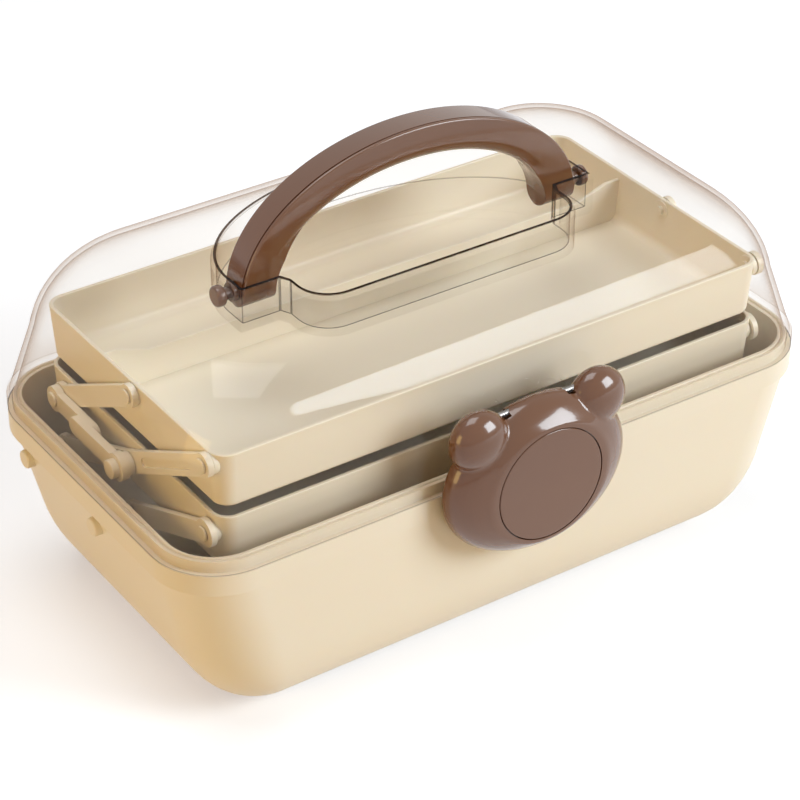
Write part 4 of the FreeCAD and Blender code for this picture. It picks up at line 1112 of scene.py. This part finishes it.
# Latch
# Cross sections of the latch from back to front: how far forward, and how much narrower, lower and less high
LATCH_PROFILE = (
    (0.0, 1.2, 1.2, 0.0),
    (1.2, 0.4, 0.4, 0.0),
    (2.8, 0.0, 0.0, 0.0),
    (4.8, 0.2, 0.2, 0.0),
    (6.8, 1.0, 0.9, 0.0),
    (8.8, 2.5, 2.0, 0.05),
    (10.6, 4.6, 3.4, 0.1),
    (12.2, 7.1, 4.9, 0.15),
    (13.4, 9.6, 6.2, 0.2),
    (14.3, 12.0, 7.2, 0.3),
    (15.0, 13.8, 7.9, 0.35),
    (15.3, 15.6, 8.6, 0.4),
)


def oval_stack(name, sections, vertices):
    """A closed body from ovals that face the front, given as forward, half width, half height and centre."""
    piece = None
    for forward, half_width, half_height, centre in sections:
        place = (0, -forward * MM, centre * MM)
        if piece is None:
            piece = start(name, bpy.ops.mesh.primitive_circle_add, vertices=vertices, radius=1.0, location=place,
                          rotation=(math.pi / 2, 0, 0))
        else:
            bpy.ops.mesh.select_all(action="DESELECT")
            bpy.ops.mesh.primitive_circle_add(vertices=vertices, radius=1.0, location=place,
                                              rotation=(math.pi / 2, 0, 0))
        bpy.ops.transform.resize(value=(half_width * MM, 1, half_height * MM), center_override=place)
    bridge_outlines(piece, len(sections), vertices, 1.0 * MM)
    close_edit()
    return piece


class ORGANIZER_OT_latch(bpy.types.Operator):
    """Model the domed latch with its two round ears, hollow back, hook and front disc"""
    bl_idname = "organizer.latch"
    bl_label = "Latch"

    def execute(self, context):
        s = Millimetres("latch_sizes")
        disc_height = s.centre - 0.4
        head = oval_stack("latch", [
            (s.back + forward, s.half_width - narrower, s.half_height - lower, s.centre - sunk)
            for forward, narrower, lower, sunk in LATCH_PROFILE], 96)
        ears = []
        for side in SIDES.values():
            across, forward, up = s.ear_place
            place = (across * side * MM, -forward * MM, up * MM)
            ear = start("ear", bpy.ops.mesh.primitive_uv_sphere_add, segments=48, ring_count=32,
                        radius=s.ear * MM, location=place)
            bpy.ops.transform.resize(value=(1, s.ear_depth / s.ear, 1), center_override=place)
            close_edit()
            ears.append(ear)
        combine(head, ears)
        apply_modifier(head, "REMESH", mode="VOXEL", voxel_size=0.6 * MM)
        apply_modifier(head, "SMOOTH", factor=0.5, iterations=12)
        hollow = oval_stack("hollow", [(forward, half_width, half_height, 84.2) for forward, half_width, half_height
                                       in ((80.0, 38.5, 28.3), (86.0, 38.5, 28.3), (96.8, 30.5, 23.3))], 96)
        recess = plate("recess", s.disc + 0.4, 5.0, -102.0, disc_height)
        close_edit()
        tools = [hollow, recess, block("behind", (-60, -s.back, 40), (60, -70.0, 140)),
                 rod("bore", -20.5, 20.5, *LATCH_HINGE, 1.33, 0)]
        for side in SIDES.values():
            low, high = span(side, 13.7, 17.3)
            tools.append(block("slot", (low, -92.8, 113.2), (high, -84.0, 128.5)))
        carve(head, tools)
        hook = block("hook", (-14.0, -97.6, 62.0), (14.0, -87.9, 67.6))
        soften(hook)
        join(head, hook)
        smooth(head, 35.0, False)
        put(head, "latch_shell", "latch", "brown_plastic", ["latch_body"])
        disc = plate("disc", s.disc, 2.1, -100.55, disc_height)
        round_edges(0.5 * MM, 3, 50.0)
        pick(disc, "FACE", lambda place, normal: normal.y < -0.9 and abs(place.x) < 1e-4)
        bpy.ops.mesh.inset(thickness=4.0 * MM)
        close_edit()
        smooth(disc)
        put(disc, "latch_disc_plate", "latch", "brown_plastic", ["latch_disc"])
        return {"FINISHED"}


class ORGANIZER_OT_hinge_pins(bpy.types.Operator):
    """Give the hinge pins their drawn steel"""
    bl_idname = "organizer.hinge_pins"
    bl_label = "Hinge pins"

    def execute(self, context):
        for name in ("lid_hinge_pins", "latch_hinge_pin"):
            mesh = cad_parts[name].data
            mesh.materials.clear()
            mesh.materials.append(finish_named("pin_steel"))
        return {"FINISHED"}


# Stage
def soft_box(name, place, size, power, tint):
    """A square studio light at a place, turned towards the middle of the box."""
    bpy.ops.object.light_add(type="AREA", location=place)
    lamp = bpy.context.object
    lamp.name = name
    lamp.data.shape = "SQUARE"
    lamp.data.size = size
    lamp.data.energy = power
    lamp.data.color = tint
    lamp.rotation_mode = "QUATERNION"
    lamp.rotation_quaternion = (Vector((0, 0, 0.08)) - Vector(place)).to_track_quat("-Z", "Y")


class ORGANIZER_OT_stage(bpy.types.Operator):
    """Set up the pale floor, the soft studio lights and the camera"""
    bl_idname = "organizer.stage"
    bl_label = "Stage"

    def execute(self, context):
        s = context.scene.stage_settings
        scene = context.scene
        scene.view_settings.view_transform = "Standard"
        floor = start("floor", bpy.ops.mesh.primitive_plane_add, size=8.0, location=(0, 0, 0))
        close_edit()
        floor.data.materials.append(finish_named("floor_paper"))
        soft_box("key", (1.3, -1.55, 1.0), 1.1, 41.0, (0.86, 0.94, 1.0))
        soft_box("top", (-0.2, 0.2, 1.9), 1.2, 16.0, (0.93, 0.97, 1.0))
        soft_box("warm_fill", (-1.7, -0.2, 0.5), 0.8, 8.0, (1.0, 0.66, 0.20))
        self.sky(scene)
        back = Vector((math.sin(s.azimuth) * math.cos(s.elevation), -math.cos(s.azimuth) * math.cos(s.elevation),
                       math.sin(s.elevation)))
        bpy.ops.object.camera_add(location=s.camera_place)
        camera = bpy.context.object
        camera.rotation_mode = "QUATERNION"
        camera.rotation_quaternion = (-back).to_track_quat("-Z", "Y")
        camera.data.sensor_width = 36.0
        camera.data.lens = s.lens
        camera.data.clip_start = 0.05
        camera.data.clip_end = 30.0
        scene.camera = camera
        return {"FINISHED"}

    def sky(self, scene):
        """A weak warm surround for the light, plain white where the camera, a gloss or clear plastic shows it."""
        world = bpy.data.worlds.new("studio")
        scene.world = world
        world.use_nodes = True
        tree = world.node_tree
        tree.nodes.clear()
        path = tree.nodes.new("ShaderNodeLightPath")
        layers = []
        for tint, strength in (((1.0, 0.68, 0.38), 0.20), ((1.0, 1.0, 1.0), 1.0)):
            background = tree.nodes.new("ShaderNodeBackground")
            background.inputs["Color"].default_value = (*tint, 1.0)
            background.inputs["Strength"].default_value = strength
            layers.append(background.outputs[0])
        seen = Signal(tree, path.outputs["Is Camera Ray"])
        for ray in ("Is Glossy Ray", "Is Transmission Ray"):
            seen = seen.math("MAXIMUM", seen, Signal(tree, path.outputs[ray]))
        mixer = tree.nodes.new("ShaderNodeMixShader")
        plug(tree, seen, mixer.inputs[0])
        tree.links.new(layers[0], mixer.inputs[1])
        tree.links.new(layers[1], mixer.inputs[2])
        output = tree.nodes.new("ShaderNodeOutputWorld")
        tree.links.new(mixer.outputs[0], output.inputs["Surface"])


STEPS = [
    ORGANIZER_OT_stage,
    ORGANIZER_OT_tub,
    ORGANIZER_OT_trays,
    ORGANIZER_OT_links,
    ORGANIZER_OT_straps,
    ORGANIZER_OT_pins,
    ORGANIZER_OT_handle,
    ORGANIZER_OT_latch,
    ORGANIZER_OT_hinge_pins,
    ORGANIZER_OT_lid,
]


class ORGANIZER_PT_maker(bpy.types.Panel):
    """List of everything that this file can make"""
    bl_label = "Organizer box"
    bl_idname = "ORGANIZER_PT_maker"
    bl_space_type = "VIEW_3D"
    bl_region_type = "UI"
    bl_category = "Organizer"

    def draw(self, context):
        for step in STEPS:
            self.layout.operator(step.bl_idname)
        for name in GROUPS:
            group = getattr(context.scene, name)
            box = self.layout.box()
            for key in keys_of(group):
                box.prop(group, key)


CLASSES = list(GROUPS.values()) + STEPS + [ORGANIZER_PT_maker]


def register():
    for item in CLASSES:
        bpy.utils.register_class(item)
    for name, group in GROUPS.items():
        setattr(bpy.types.Scene, name, PointerProperty(type=group))


def unregister():
    for name in GROUPS:
        delattr(bpy.types.Scene, name)
    for item in reversed(CLASSES):
        bpy.utils.unregister_class(item)


def main():
    register()
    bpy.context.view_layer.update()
    for step in STEPS:
        family, action = step.bl_idname.split(".")
        getattr(getattr(bpy.ops, family), action)()


if __name__ == "__main__":
    main()
